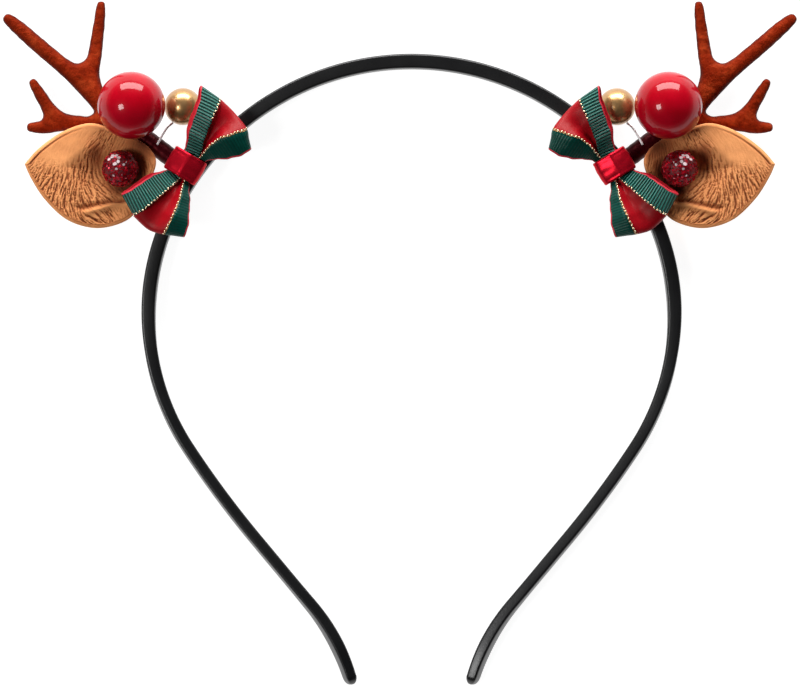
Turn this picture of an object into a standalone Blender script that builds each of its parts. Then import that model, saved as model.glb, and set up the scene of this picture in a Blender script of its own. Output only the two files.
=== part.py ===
"""A reindeer antler headband: one black band with a mirrored ornament on each side.

Each ornament is an antler, a cupped plush ear, a large red ball, a gold pearl on a wire,
a small glitter ball, a wrapped stem and a striped ribbon bow held by a satin knot.
The headband lies on its back edge: X runs across it, +Y points past the crown and +Z is up,
towards the side that faces the viewer. The origin is the middle of the crown's resting face.
Tables are in millimetres and degrees, and MM turns them into metres.
"""

import math

import bmesh
import bpy
from mathutils import Matrix, Vector

MM = 0.001

# Band: the centreline of one half, from the middle of the crown to a tip.
# radius 0 is a straight stretch whose length stands in the last column.
BAND_ARCS = (
    # radius, turn, length
    (66.4, 63.0, 0.0),
    (60.2, 60.3, 0.0),
    (250.0, 6.5, 0.0),
    (0.0, 0.0, 21.4),
    (52.1, -25.0, 0.0),
)
# Section of the band at shares of its half length.
BAND_SECTIONS = (
    # share, thick, deep, lean
    (0.00, 3.60, 6.0, 0.0),
    (0.45, 3.50, 6.0, 0.0),
    (0.62, 2.90, 5.6, 8.0),
    (0.86, 2.80, 5.2, 10.0),
    (0.95, 2.90, 4.8, 16.0),
    (1.00, 2.60, 4.2, 18.0),
)
BAND_EDGE_RADIUS = 0.75
BAND_EDGE_STEPS = 3
BAND_TIP_LENGTH = 2.2
BAND_TIP_RINGS = (1.4, 0.7, 0.25)
BAND_TIP_DEPTH_KEPT = 0.35
BAND_LEAST_HALF = 0.12
BAND_TURN_STEP = 4.4
BAND_STRAIGHT_STEP = 7.0

# The ornaments mirror each other about this plane, a little to the left of the band's middle.
ORNAMENT_MIDDLE_X = -2.9

# Antler: a tree of round sections, each row joined to the row named in its second column.
ANTLER_RODS = (
    # name, from, x, y, z, radius
    ("root", None, -66.2, -17.25, 2.9, 1.9),
    ("trunk_low", "root", -72.4, -13.4, 3.2, 2.35),
    ("trunk_high", "trunk_low", -76.2, -8.7, 3.5, 2.7),
    ("fork", "trunk_high", -78.7, -4.8, 3.7, 3.2),
    ("long_1", "fork", -82.4, -2.6, 3.9, 2.3),
    ("long_2", "long_1", -86.0, 0.4, 4.2, 2.1),
    ("long_3", "long_2", -89.8, 3.6, 4.6, 2.1),
    ("long_4", "long_3", -93.6, 6.9, 5.1, 2.0),
    ("long_5", "long_4", -97.0, 9.9, 5.6, 1.7),
    ("long_tip", "long_5", -98.7, 11.4, 5.9, 1.2),
    ("upright_1", "fork", -76.4, 0.2, 3.6, 2.0),
    ("upright_2", "upright_1", -75.8, 4.4, 3.6, 1.75),
    ("upright_3", "upright_2", -75.2, 8.8, 3.9, 1.6),
    ("upright_4", "upright_3", -74.7, 12.8, 4.3, 1.35),
    ("upright_tip", "upright_4", -74.5, 15.0, 4.5, 0.9),
    ("branch_1", "trunk_low", -77.6, -15.1, 2.9, 1.5),
    ("branch_2", "branch_1", -81.4, -15.2, 2.9, 1.9),
    ("branch_fork", "branch_2", -85.6, -15.1, 3.0, 2.5),
    ("rising_1", "branch_fork", -88.0, -11.3, 3.4, 1.8),
    ("rising_2", "rising_1", -90.2, -7.7, 4.1, 1.5),
    ("rising_tip", "rising_2", -92.1, -4.5, 4.8, 1.0),
    ("low_1", "branch_fork", -89.0, -16.6, 2.9, 1.75),
    ("low_tip", "low_1", -93.4, -16.4, 3.2, 1.15),
)
ANTLER_FLATNESS = 0.9

# Ear: a dish whose rim runs through these points, round from the sharp tip.
EAR_RIM = (
    # name, x, y, z
    ("tip", -93.4, -25.8, 7.6),
    ("upper_1", -90.0, -22.0, 7.4),
    ("upper_2", -85.0, -18.3, 7.1),
    ("upper_3", -80.0, -16.1, 6.8),
    ("upper_4", -75.8, -15.7, 6.6),
    ("under_ball", -70.3, -17.6, 6.2),
    ("inner_1", -65.4, -19.6, 6.35),
    ("inner_2", -61.9, -22.4, 6.35),
    ("base", -60.8, -26.0, 6.3),
    ("lower_1", -63.4, -32.4, 6.0),
    ("lower_2", -66.2, -38.2, 6.0),
    ("lower_3", -70.6, -40.9, 6.3),
    ("lower_4", -76.5, -41.7, 6.7),
    ("lower_5", -83.0, -39.6, 7.1),
    ("lower_6", -88.4, -34.6, 7.4),
    ("lower_7", -91.8, -29.4, 7.5),
)
EAR_FLOOR = (-70.2, -27.6, 2.3)
EAR_BOWL_SHARE = 0.55
EAR_FLARE_POWER = 1.3
EAR_SHELF_START = 0.12
EAR_SHELF_END = 0.62
EAR_SHELF_SHARE = 0.75
EAR_SHELF_REACH = (11.0, 17.0)
EAR_WALL = 2.0
EAR_RING_SHARES = (0.24, 0.5, 0.76, 1.0)
EAR_POINTS_A_ROW = 2

# Balls: centre and radius.
RED_BALL = ((-66.5, -11.5, 12.35), 8.4)
PEARL = ((-54.1, -11.4, 5.4), 4.65)
GLITTER_BALL = ((-69.5, -27.0, 8.9), 4.6)
BALL_SIDES = 20
SMALL_BALL_SIDES = 16

# Stem: the satin-wrapped bundle that carries the ornament on the band's outer side.
STEM_PATH = (
    # x, y, z, radius
    (-66.1, -17.3, 2.9, 2.0),
    (-64.6, -18.5, 2.9, 2.4),
    (-61.5, -20.8, 2.9, 2.4),
)
# Its end on each side, because the band's middle is not the ornaments' middle.
STEM_ENDS = {"left": (-53.2, -27.05, 2.9), "right": (-56.9, -24.25, 2.9)}
STEM_END_RADIUS = 2.4
STEM_SIDES = 10

# Wire: from the underside of the pearl to the stem.
WIRE_PATH = (
    # x, y, z
    (-56.7, -15.4, 4.0),
    (-58.0, -16.5, 4.4),
    (-59.2, -18.4, 5.1),
    (-60.5, -20.9, 5.85),
)
WIRE_RADIUS = 0.3
WIRE_SIDES = 6
WIRE_STEPS = 3

# Bow: the centre of the pinch, the loops' directions, and the ribbon.
BOW_CENTRE = (-53.3, -26.3, 9.0)
KNOT_DIRECTION = 59.0
RIBBON_WALL = 1.0
UPPER_LOOP_DIRECTION = 48.4
LOWER_LOOP_DIRECTION = 238.4
# Where five lines of the front layer run, across the loop's axis, at shares of its length.
UPPER_LOOP = (
    # share, left edge, ridge, valley, crest, right edge
    (0.00, -2.4, -1.0, 0.1, 1.2, 2.4),
    (0.24, -2.6, -0.5, 0.5, 1.2, 2.3),
    (0.45, -5.2, -0.6, 0.4, 1.5, 4.9),
    (0.62, -6.3, -1.6, 0.3, 2.1, 7.3),
    (0.81, -7.5, -2.7, 0.6, 4.0, 9.2),
    (1.00, -9.5, -3.6, 0.8, 5.9, 10.1),
)
UPPER_LOOP_REACH = (17.3, 18.0, 17.8, 16.9, 13.9)
LOWER_LOOP = (
    # share, left edge, ridge, valley, crest, right edge
    (0.00, -2.4, -1.0, 0.1, 1.2, 2.4),
    (0.24, -2.6, -0.3, 0.7, 1.6, 2.7),
    (0.45, -5.6, -0.5, 1.4, 3.4, 5.7),
    (0.62, -6.6, -1.3, 1.3, 4.0, 7.1),
    (0.81, -7.7, -2.3, 1.1, 4.5, 8.8),
    (1.00, -9.0, -3.7, 1.05, 4.9, 9.7),
)
LOWER_LOOP_REACH = (14.2, 17.1, 18.2, 17.3, 15.2)
# How far the loop opens, how high its folds stand, and how far it rises, at the same shares.
LOOP_FORM = (
    # share, half opening, fold, rise
    (0.00, 0.75, 0.0, 0.0),
    (0.24, 0.85, 0.1, 0.2),
    (0.45, 1.60, 0.6, 2.0),
    (0.72, 2.20, 1.0, 3.3),
    (1.00, 2.20, 0.3, 3.8),
)
SPREAD_START = 0.24
SPREAD_END = 0.5
FOLD_PATTERN = (-0.3, 1.0, -1.0, 0.9, -1.0)
BACK_FOLD_SHARE = 0.2
BACK_SHIFT_LEFT = 1.1
LOOP_BLUNTNESS = 6
LOOP_SHARES = (0.0, 0.24, 0.4, 0.56, 0.74, 0.88, 0.97)
CROSS_STEPS = 2

# Knot: the satin strap round the pinch.
KNOT_HALF_WIDTH = 4.1
KNOT_HALF_HEIGHT = 2.4
KNOT_WALL = 0.8
KNOT_LENGTH = 6.2
KNOT_SIDES = 20
KNOT_SQUARENESS = 3.4
KNOT_RISE = 0.2
KNOT_BARREL = 0.04

COLOURS = {
    # name: red, green, blue, roughness, metallic
    "band_black": (0.012, 0.012, 0.013, 0.42, 0.0),
    "antler_brown": (0.30, 0.055, 0.016, 0.75, 0.0),
    "ear_tan": (0.60, 0.28, 0.10, 0.9, 0.0),
    "lacquer_red": (0.50, 0.004, 0.012, 0.12, 0.0),
    "pearl_gold": (0.62, 0.42, 0.18, 0.3, 0.6),
    "glitter_red": (0.16, 0.004, 0.010, 0.35, 0.4),
    "stem_maroon": (0.07, 0.006, 0.008, 0.35, 0.0),
    "wire_silver": (0.75, 0.75, 0.76, 0.2, 1.0),
    "ribbon_green": (0.006, 0.10, 0.065, 0.6, 0.0),
    "satin_red": (0.55, 0.005, 0.012, 0.35, 0.0),
}


def clear_scene():
    for obj in list(bpy.data.objects):
        bpy.data.objects.remove(obj)


def material(name):
    red, green, blue, roughness, metallic = COLOURS[name]
    made = bpy.data.materials.new(name)
    made.use_nodes = True
    shader = made.node_tree.nodes["Principled BSDF"]
    shader.inputs["Base Color"].default_value = (red, green, blue, 1.0)
    shader.inputs["Roughness"].default_value = roughness
    shader.inputs["Metallic"].default_value = metallic
    return made


def add_object(name, mesh, finish, parent=None):
    """A named object of this mesh, in millimetres, under its parent."""
    mesh.transform(Matrix.Scale(MM, 4))
    mesh.materials.append(finish)
    obj = bpy.data.objects.new(name, mesh)
    bpy.context.scene.collection.objects.link(obj)
    obj.parent = parent
    return obj


def mesh_from(name, points, faces, edges=()):
    mesh = bpy.data.meshes.new(name)
    mesh.from_pydata([tuple(p) for p in points], edges, faces)
    return mesh


def smooth(obj, angle=50):
    obj.data.shade_smooth()
    obj.data.set_sharp_from_angle(angle=math.radians(angle))


def read_row(rows, share):
    """The columns after the first, read smoothly at a share between the rows."""
    for low, high in zip(rows, rows[1:]):
        if share <= high[0]:
            step = (share - low[0]) / (high[0] - low[0])
            step = step * step * (3 - 2 * step) * 0.5 + step * 0.5
            return [a + (b - a) * step for a, b in zip(low[1:], high[1:])]
    return list(rows[-1][1:])


def through(points, closed, steps, sharp=()):
    """Points on a smooth curve through these ones; those in sharp stay corners."""
    count = len(points)
    found = []
    for i in range(count if closed else count - 1):
        here = points[i]
        after = points[(i + 1) % count]
        before = points[i - 1] if closed or i else here
        beyond = points[(i + 2) % count] if closed or i + 2 < count else after
        slope_out = (after - before) * 0.5 if i not in sharp else (after - here) * 0.5
        next_sharp = (i + 1) % count in sharp
        slope_in = (after - here) * 0.5 if next_sharp else (beyond - here) * 0.5
        for k in range(steps):
            t = k / steps
            found.append(
                here * (2 * t**3 - 3 * t**2 + 1)
                + slope_out * (t**3 - 2 * t**2 + t)
                + after * (3 * t**2 - 2 * t**3)
                + slope_in * (t**3 - t**2)
            )
    return found if closed else found + [points[-1]]


def band_half():
    """(position, heading, distance) along one half of the band's centreline, with x positive."""
    place = Vector((0.0, 0.0))
    heading = 0.0
    travelled = 0.0
    stations = [(place.copy(), heading, travelled)]
    for radius, turn, length in BAND_ARCS:
        if radius:
            length = radius * math.radians(abs(turn))
            count = max(2, round(length / BAND_TURN_STEP))
        else:
            count = max(2, round(length / BAND_STRAIGHT_STEP))
        step = length / count
        bend = math.radians(turn) / count
        chord = step if not bend else 2 * radius * math.sin(abs(bend) / 2)
        for _ in range(count):
            heading += bend / 2
            place = place + Vector((math.cos(heading), -math.sin(heading))) * chord
            heading += bend / 2
            travelled += step
            stations.append((place.copy(), heading, travelled))
    return stations


def band_ring(place, heading, share, side, left_to_end):
    """The rounded section of the band at one station, as points in the frame."""
    thick, deep, lean = read_row(BAND_SECTIONS, share)
    # The tip closes along a quarter circle.
    into_tip = max(0.0, 1.0 - left_to_end / BAND_TIP_LENGTH)
    closing = math.sqrt(max(0.0, 1.0 - into_tip**2))
    kept = BAND_TIP_DEPTH_KEPT + (1.0 - BAND_TIP_DEPTH_KEPT) * closing
    half_thick = max(thick / 2 * closing, BAND_LEAST_HALF)
    half_deep = deep / 2 * kept
    radius = min(BAND_EDGE_RADIUS, half_thick * 0.6)
    outwards = Vector((math.sin(heading), math.cos(heading)))
    turn = math.radians(lean)
    lowest = half_deep * math.cos(turn) + (half_thick - radius) * math.sin(turn)
    ring = []
    for out_sign, up_sign in ((1, 1), (-1, 1), (-1, -1), (1, -1)):
        corner = (out_sign * (half_thick - radius), up_sign * (half_deep - radius))
        start = math.atan2(up_sign, out_sign) - math.pi / 4
        for k in range(BAND_EDGE_STEPS):
            angle = start + k / (BAND_EDGE_STEPS - 1) * math.pi / 2
            out = corner[0] + radius * math.cos(angle)
            up = corner[1] + radius * math.sin(angle)
            # The lean turns the band's outer face up towards the viewer.
            leaned_out = out * math.cos(turn) - up * math.sin(turn)
            leaned_up = out * math.sin(turn) + up * math.cos(turn)
            spot = place + outwards * leaned_out
            ring.append(Vector((side * spot.x, spot.y, leaned_up + lowest)))
    return ring


def loft(rings):
    """Points and faces of the tube through closed rings, with flat ends."""
    sides = len(rings[0])
    points = [p for ring in rings for p in ring]
    faces = []
    for i in range(len(rings) - 1):
        for j in range(sides):
            a = i * sides + j
            b = i * sides + (j + 1) % sides
            faces.append((a, b, b + sides, a + sides))
    faces.append(tuple(range(sides))[::-1])
    last = (len(rings) - 1) * sides
    faces.append(tuple(range(last, last + sides)))
    return points, faces


def make_band(finish):
    stations = band_half()
    length = stations[-1][2]
    tip_place, tip_heading, _ = stations[-1]
    ahead = Vector((math.cos(tip_heading), -math.sin(tip_heading)))
    for left in BAND_TIP_RINGS:
        stations.insert(-1, (tip_place - ahead * left, tip_heading, length - left))
    halves = {}
    for side in (-1, 1):
        halves[side] = [
            band_ring(place, heading, distance / length, side, length - distance)
            for place, heading, distance in stations
        ]
    points, faces = loft(halves[-1][:0:-1] + halves[1])
    mesh = mesh_from("band", points, faces)
    repair_normals(mesh)
    obj = add_object("band", mesh, finish)
    smooth(obj)
    return obj


def repair_normals(mesh):
    shape = bmesh.new()
    shape.from_mesh(mesh)
    bmesh.ops.recalc_face_normals(shape, faces=shape.faces)
    shape.to_mesh(mesh)
    shape.free()


def make_antler(name, finish, parent):
    index = {row[0]: i for i, row in enumerate(ANTLER_RODS)}
    points = [Vector(row[2:5]) for row in ANTLER_RODS]
    edges = [(index[row[1]], index[row[0]]) for row in ANTLER_RODS if row[1]]
    mesh = mesh_from(name, points, (), edges)
    obj = add_object(name, mesh, finish, parent)
    skin = obj.modifiers.new("skin", "SKIN")
    skin.use_smooth_shade = True
    for row, vertex in zip(ANTLER_RODS, mesh.skin_vertices[0].data):
        radius = row[5] * MM
        vertex.radius = (radius, radius * ANTLER_FLATNESS)
        vertex.use_root = row[1] is None
    rounding = obj.modifiers.new("rounding", "SUBSURF")
    rounding.levels = 1
    rounding.render_levels = 1
    return obj


def ease(low, high, value):
    """0 below low, 1 above high, and a smooth climb between."""
    t = min(1.0, max(0.0, (value - low) / (high - low)))
    return t * t * (3 - 2 * t)


def ear_height(rim_z, share, reach):
    """Height of the dish: a bowl that flares out, and where it is long, a steep wall and a shelf."""
    bowl = EAR_BOWL_SHARE * ease(0, 1, share) + (1 - EAR_BOWL_SHARE) * share**EAR_FLARE_POWER
    wall = ease(EAR_SHELF_START, EAR_SHELF_END, share)
    shelf = EAR_SHELF_SHARE * wall + (1 - EAR_SHELF_SHARE) * share
    climb = bowl + (shelf - bowl) * ease(*EAR_SHELF_REACH, reach)
    return EAR_FLOOR[2] + (rim_z - EAR_FLOOR[2]) * climb


def make_ear(name, finish, parent):
    corners = [Vector(row[1:4]) for row in EAR_RIM]
    rim = through(corners, True, EAR_POINTS_A_ROW, sharp=(0,))
    middle = Vector(EAR_FLOOR)
    points = [middle]
    for share in EAR_RING_SHARES:
        for spot in rim:
            at = middle.lerp(spot, share)
            reach = (spot.xy - middle.xy).length
            points.append(Vector((at.x, at.y, ear_height(spot.z, share, reach))))
    count = len(rim)
    faces = [(0, 1 + (j + 1) % count, 1 + j) for j in range(count)]
    for i in range(len(EAR_RING_SHARES) - 1):
        for j in range(count):
            a = 1 + i * count + j
            b = 1 + i * count + (j + 1) % count
            faces.append((a, b, b + count, a + count))
    mesh = mesh_from(name, points, faces)
    repair_normals(mesh)
    obj = add_object(name, mesh, finish, parent)
    wall = obj.modifiers.new("wall", "SOLIDIFY")
    wall.thickness = EAR_WALL * MM
    wall.offset = 0.0
    smooth(obj)
    return obj


def make_ball(name, ball, sides, finish, parent):
    centre, radius = ball
    shape = bmesh.new()
    bmesh.ops.create_uvsphere(
        shape, u_segments=sides, v_segments=sides // 2, radius=radius
    )
    mesh = bpy.data.meshes.new(name)
    shape.to_mesh(mesh)
    shape.free()
    obj = add_object(name, mesh, finish, parent)
    obj.location = Vector(centre) * MM
    mesh.shade_smooth()
    return obj


def tube_rings(path, radii, sides):
    """Round sections square to a path of points."""
    rings = []
    for i, here in enumerate(path):
        before = path[max(i - 1, 0)]
        after = path[min(i + 1, len(path) - 1)]
        along = (after - before).normalized()
        across = along.cross(Vector((0, 0, 1))).normalized()
        lift = across.cross(along)
        ring = []
        for k in range(sides):
            angle = 2 * math.pi * k / sides
            ring.append(
                here + (across * math.cos(angle) + lift * math.sin(angle)) * radii[i]
            )
        rings.append(ring)
    return rings


def make_tube(name, path, radii, sides, finish, parent):
    points, faces = loft(tube_rings(path, radii, sides))
    mesh = mesh_from(name, points, faces)
    repair_normals(mesh)
    obj = add_object(name, mesh, finish, parent)
    smooth(obj)
    return obj


def spread(values, steps):
    """Values read on a smooth curve through a few, with steps between each two."""
    curve = through([Vector((v, 0.0)) for v in values], False, steps)
    return [p.x for p in curve]


def unit(degrees):
    angle = math.radians(degrees)
    return Vector((math.cos(angle), math.sin(angle)))


def loop_line(rows, reach, direction, share, back):
    """One line of points across a loop of the bow, on its front or back layer."""
    lines = read_row(rows, share)
    half_open, fold, rise = read_row(LOOP_FORM, share)
    closing = math.sqrt(max(0.0, 1.0 - share**LOOP_BLUNTNESS))
    spreading = min(1.0, max(0.0, (share - SPREAD_START) / (SPREAD_END - SPREAD_START)))
    knot_side = unit(KNOT_DIRECTION - 90)
    loop_side = unit(direction - 90)
    if knot_side.dot(loop_side) < 0:
        loop_side = -loop_side
    side = knot_side.lerp(loop_side, spreading).normalized()
    axis = unit(direction)
    layer = -closing if back else closing
    if back:
        # The back layer lies flatter, so its lines are spaced evenly between its edges.
        even = [lines[0] + (lines[-1] - lines[0]) * k / 4 for k in range(5)]
        lines = [a + (b - a) * closing for a, b in zip(lines, even)]
        fold *= BACK_FOLD_SHARE
    shift = BACK_SHIFT_LEFT * spreading * (layer - 1) / 2
    across = [x + shift for x in spread(lines, CROSS_STEPS)]
    folds = [y * fold for y in spread(FOLD_PATTERN, CROSS_STEPS)]
    ends = spread(reach, CROSS_STEPS)
    centre = Vector(BOW_CENTRE)
    points = []
    for x, height, end in zip(across, folds, ends):
        flat = axis * (share * end) + side * x
        z = rise + half_open * layer + height
        points.append(centre + Vector((flat.x, flat.y, z)))
    return points


def bow_lines():
    """Lines of points across the ribbon, round the ring that its two loops make."""
    upper = (UPPER_LOOP, UPPER_LOOP_REACH, UPPER_LOOP_DIRECTION)
    lower = (LOWER_LOOP, LOWER_LOOP_REACH, LOWER_LOOP_DIRECTION)
    outwards = list(LOOP_SHARES) + [1.0]
    inwards = list(LOOP_SHARES)[::-1]
    lines = []
    for loop, first_back in ((upper, False), (lower, True)):
        lines += [loop_line(*loop, share, first_back) for share in outwards]
        lines += [loop_line(*loop, share, not first_back) for share in inwards[:-1]]
    return lines


def make_bow(name, finish, parent):
    lines = bow_lines()
    count = len(lines)
    width = len(lines[0])
    points = [p for line in lines for p in line]
    faces = []
    for i in range(count):
        for j in range(width - 1):
            a = i * width + j
            b = (i + 1) % count * width + j
            faces.append((a, a + 1, b + 1, b))
    mesh = mesh_from(name, points, faces)
    repair_normals(mesh)
    obj = add_object(name, mesh, finish, parent)
    wall = obj.modifiers.new("wall", "SOLIDIFY")
    wall.thickness = RIBBON_WALL * MM
    wall.offset = 0.0
    smooth(obj)
    return obj


def make_knot(name, finish, parent):
    axis = unit(KNOT_DIRECTION)
    side = unit(KNOT_DIRECTION - 90)
    centre = Vector(BOW_CENTRE) + Vector((0, 0, KNOT_RISE))
    points = []
    faces = []
    for i, along in enumerate((-0.5, 0.0, 0.5)):
        waist = 1.0 + KNOT_BARREL * (1 - abs(along) * 2)
        for k in range(KNOT_SIDES):
            angle = 2 * math.pi * k / KNOT_SIDES
            cosine = math.cos(angle)
            sine = math.sin(angle)
            sum_of_powers = abs(cosine) ** KNOT_SQUARENESS + abs(sine) ** KNOT_SQUARENESS
            squared = waist * sum_of_powers ** (-1 / KNOT_SQUARENESS)
            out = KNOT_HALF_WIDTH * cosine * squared
            up = KNOT_HALF_HEIGHT * sine * squared
            flat = axis * (along * KNOT_LENGTH) + side * out
            points.append(centre + Vector((flat.x, flat.y, up)))
            if i < 2:
                a = i * KNOT_SIDES + k
                b = i * KNOT_SIDES + (k + 1) % KNOT_SIDES
                faces.append((a, b, b + KNOT_SIDES, a + KNOT_SIDES))
    mesh = mesh_from(name, points, faces)
    repair_normals(mesh)
    obj = add_object(name, mesh, finish, parent)
    wall = obj.modifiers.new("wall", "SOLIDIFY")
    wall.thickness = KNOT_WALL * MM
    wall.offset = 0.0
    smooth(obj)
    return obj


def make_ornament(side, finishes):
    """One ornament, under an empty that mirrors the right-hand one."""
    base = bpy.data.objects.new(f"ornament_{side}", None)
    bpy.context.scene.collection.objects.link(base)
    base.location = (ORNAMENT_MIDDLE_X * MM, 0, 0)
    base.scale = (-1 if side == "right" else 1, 1, 1)
    make_antler(f"antler_{side}", finishes["antler_brown"], base)
    make_ear(f"ear_{side}", finishes["ear_tan"], base)
    make_ball(f"red_ball_{side}", RED_BALL, BALL_SIDES, finishes["lacquer_red"], base)
    make_ball(f"pearl_{side}", PEARL, SMALL_BALL_SIDES, finishes["pearl_gold"], base)
    make_ball(
        f"glitter_ball_{side}",
        GLITTER_BALL,
        SMALL_BALL_SIDES,
        finishes["glitter_red"],
        base,
    )
    stem = [Vector(row[:3]) for row in STEM_PATH] + [Vector(STEM_ENDS[side])]
    stem_radii = [row[3] for row in STEM_PATH] + [STEM_END_RADIUS]
    make_tube(
        f"stem_{side}", stem, stem_radii, STEM_SIDES, finishes["stem_maroon"], base
    )
    wire = through([Vector(row) for row in WIRE_PATH], False, WIRE_STEPS)
    wire_radii = [WIRE_RADIUS] * len(wire)
    make_tube(
        f"wire_{side}", wire, wire_radii, WIRE_SIDES, finishes["wire_silver"], base
    )
    make_bow(f"bow_{side}", finishes["ribbon_green"], base)
    make_knot(f"knot_{side}", finishes["satin_red"], base)


def main():
    clear_scene()
    finishes = {name: material(name) for name in COLOURS}
    make_band(finishes["band_black"])
    for side in ("left", "right"):
        make_ornament(side, finishes)


main()
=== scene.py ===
# %% [markdown]
# # A reindeer antler headband
#
# This lesson dresses a festive headband: a slim black band with an ornament on each side.
# Each ornament has an antler, a cupped plush ear, a big lacquered ball, a gold pearl on a
# wire, a small glitter ball, a satin-wrapped stem and a striped bow with a satin knot.
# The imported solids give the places, and the pieces here give the looks. The headband lies
# on its back edge, so X runs across it, +Y points past the crown and +Z is up.

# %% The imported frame
import math
import random

import bmesh
import bpy
import numpy as np
from mathutils import Matrix, Vector, noise


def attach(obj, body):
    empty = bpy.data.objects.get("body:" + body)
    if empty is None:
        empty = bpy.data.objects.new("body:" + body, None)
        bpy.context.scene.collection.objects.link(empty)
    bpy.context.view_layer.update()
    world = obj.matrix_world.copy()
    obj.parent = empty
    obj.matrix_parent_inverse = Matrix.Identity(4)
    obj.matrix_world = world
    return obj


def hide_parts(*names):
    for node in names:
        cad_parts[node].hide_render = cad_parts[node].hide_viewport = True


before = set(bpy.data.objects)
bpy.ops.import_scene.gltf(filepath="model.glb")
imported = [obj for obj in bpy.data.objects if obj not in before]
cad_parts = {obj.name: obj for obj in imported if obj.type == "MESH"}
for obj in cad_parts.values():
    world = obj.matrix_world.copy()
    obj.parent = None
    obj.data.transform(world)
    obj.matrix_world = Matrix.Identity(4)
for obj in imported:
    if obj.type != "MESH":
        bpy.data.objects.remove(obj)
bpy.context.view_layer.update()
print("packed nodes:", len(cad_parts))

# %% [markdown]
# Everything below is written in millimetres and degrees, in the space of the left ornament.
# One helper takes a finished mesh to its side, in metres. The right ornament is the mirror
# image of the left one, as on the real headband. Mirroring turns faces inside out, so the
# helper flips them back.

# %% Placing a piece
MM = 0.001
ORNAMENT_MIDDLE_X = -2.9
SIDES = {"left": 1, "right": -1}


def to_side(mesh, side):
    """Take a mesh from millimetres about the ornaments' middle to its place in metres."""
    across = SIDES[side] * MM
    rows = (
        (across, 0, 0, ORNAMENT_MIDDLE_X * MM),
        (0, MM, 0, 0),
        (0, 0, MM, 0),
        (0, 0, 0, 1),
    )
    mesh.transform(Matrix(rows))
    if across < 0:
        mesh.flip_normals()


def new_object(name, mesh):
    made = bpy.data.objects.new(name, mesh)
    bpy.context.scene.collection.objects.link(made)
    return made


def finish_piece(name, mesh, materials, nodes=()):
    """Name a finished mesh, give it its materials and hang it on the part."""
    mesh.name = name
    numbers = [face.material_index for face in mesh.polygons]
    mesh.materials.clear()
    for material in materials:
        mesh.materials.append(material)
    mesh.polygons.foreach_set("material_index", numbers)
    piece = new_object(name, mesh)
    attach(piece, "root")
    if nodes:
        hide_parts(*nodes)
    return piece


def both_sides(stem, mesh, materials, node_stem=None):
    """Make the left and right piece from one mesh in millimetres."""
    made = {}
    for side in SIDES:
        own = mesh.copy()
        to_side(own, side)
        nodes = (f"{node_stem}_{side}",) if node_stem else ()
        made[side] = finish_piece(f"{stem}_{side}", own, materials, nodes)
    return made


def mesh_from(name, points, faces):
    mesh = bpy.data.meshes.new(name)
    mesh.from_pydata([tuple(p) for p in points], (), faces)
    return mesh


def baked(name, source):
    """A plain mesh of an object as its modifiers leave it. The object is then removed."""
    bpy.context.view_layer.update()
    depsgraph = bpy.context.evaluated_depsgraph_get()
    mesh = bpy.data.meshes.new_from_object(source.evaluated_get(depsgraph))
    mesh.name = name
    bpy.data.objects.remove(source)
    return mesh


def outwards(mesh):
    shape = bmesh.new()
    shape.from_mesh(mesh)
    bmesh.ops.recalc_face_normals(shape, faces=shape.faces)
    shape.to_mesh(mesh)
    shape.free()


# %% [markdown]
# Curves do most of the work. One helper draws a smooth line through a few points, and one
# reads a table between its rows, so that a short list of sizes can steer a whole surface.

# %% Curves and tables
def through(points, closed, steps, sharp=()):
    """Points on a smooth curve through these ones. Those in sharp stay corners."""
    count = len(points)
    found = []
    for i in range(count if closed else count - 1):
        here = points[i]
        after = points[(i + 1) % count]
        before = points[i - 1] if closed or i else here
        beyond = points[(i + 2) % count] if closed or i + 2 < count else after
        slope_out = (after - before) * 0.5 if i not in sharp else (after - here) * 0.5
        next_sharp = (i + 1) % count in sharp
        slope_in = (after - here) * 0.5 if next_sharp else (beyond - here) * 0.5
        for k in range(steps):
            t = k / steps
            found.append(
                here * (2 * t**3 - 3 * t**2 + 1)
                + slope_out * (t**3 - 2 * t**2 + t)
                + after * (3 * t**2 - 2 * t**3)
                + slope_in * (t**3 - t**2)
            )
    return found if closed else found + [points[-1]]


def spread(values, steps):
    """Numbers on a smooth curve through a few, with steps between each two."""
    return [p.x for p in through([Vector((v, 0.0)) for v in values], False, steps)]


def ease(low, high, value):
    """0 below low, 1 above high, and a smooth climb between."""
    t = min(1.0, max(0.0, (value - low) / (high - low)))
    return t * t * (3 - 2 * t)


def read_row(rows, share):
    """The columns after the first, read smoothly at a share between the rows."""
    for low, high in zip(rows, rows[1:]):
        if share <= high[0]:
            t = (share - low[0]) / (high[0] - low[0])
            t = ease(0, 1, t) * 0.5 + t * 0.5
            return [a + (b - a) * t for a, b in zip(low[1:], high[1:])]
    return list(rows[-1][1:])


def ring_faces(count, sides, first=0, closed=False):
    """Faces between rings of points. Closed joins the last ring to the first."""
    faces = []
    for i in range(count if closed else count - 1):
        here = first + i * sides
        after = first + (i + 1) % count * sides
        for j in range(sides):
            k = (j + 1) % sides
            faces.append((here + j, here + k, after + k, after + j))
    return faces


def smooth_tube(name, rings, corner):
    """A tube with flat ends, smooth but for edges that turn by more than a corner's degrees."""
    sides = len(rings[0])
    last = (len(rings) - 1) * sides
    faces = ring_faces(len(rings), sides)
    faces += [tuple(range(sides))[::-1], tuple(range(last, last + sides))]
    mesh = mesh_from(name, [p for ring in rings for p in ring], faces)
    outwards(mesh)
    mesh.shade_smooth()
    mesh.set_sharp_from_angle(angle=math.radians(corner))
    return mesh


# %% [markdown]
# A finish is a Principled shader with a little procedural detail. Each helper adds a node or
# two and gives back the socket that the next one needs, so that a finish reads as a few short
# steps. An input takes either a plain value or another node's socket. Scales are in features
# per metre, because Object coordinates are in metres.

# %% Material helpers
WHITE = (1.0, 1.0, 1.0)


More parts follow.
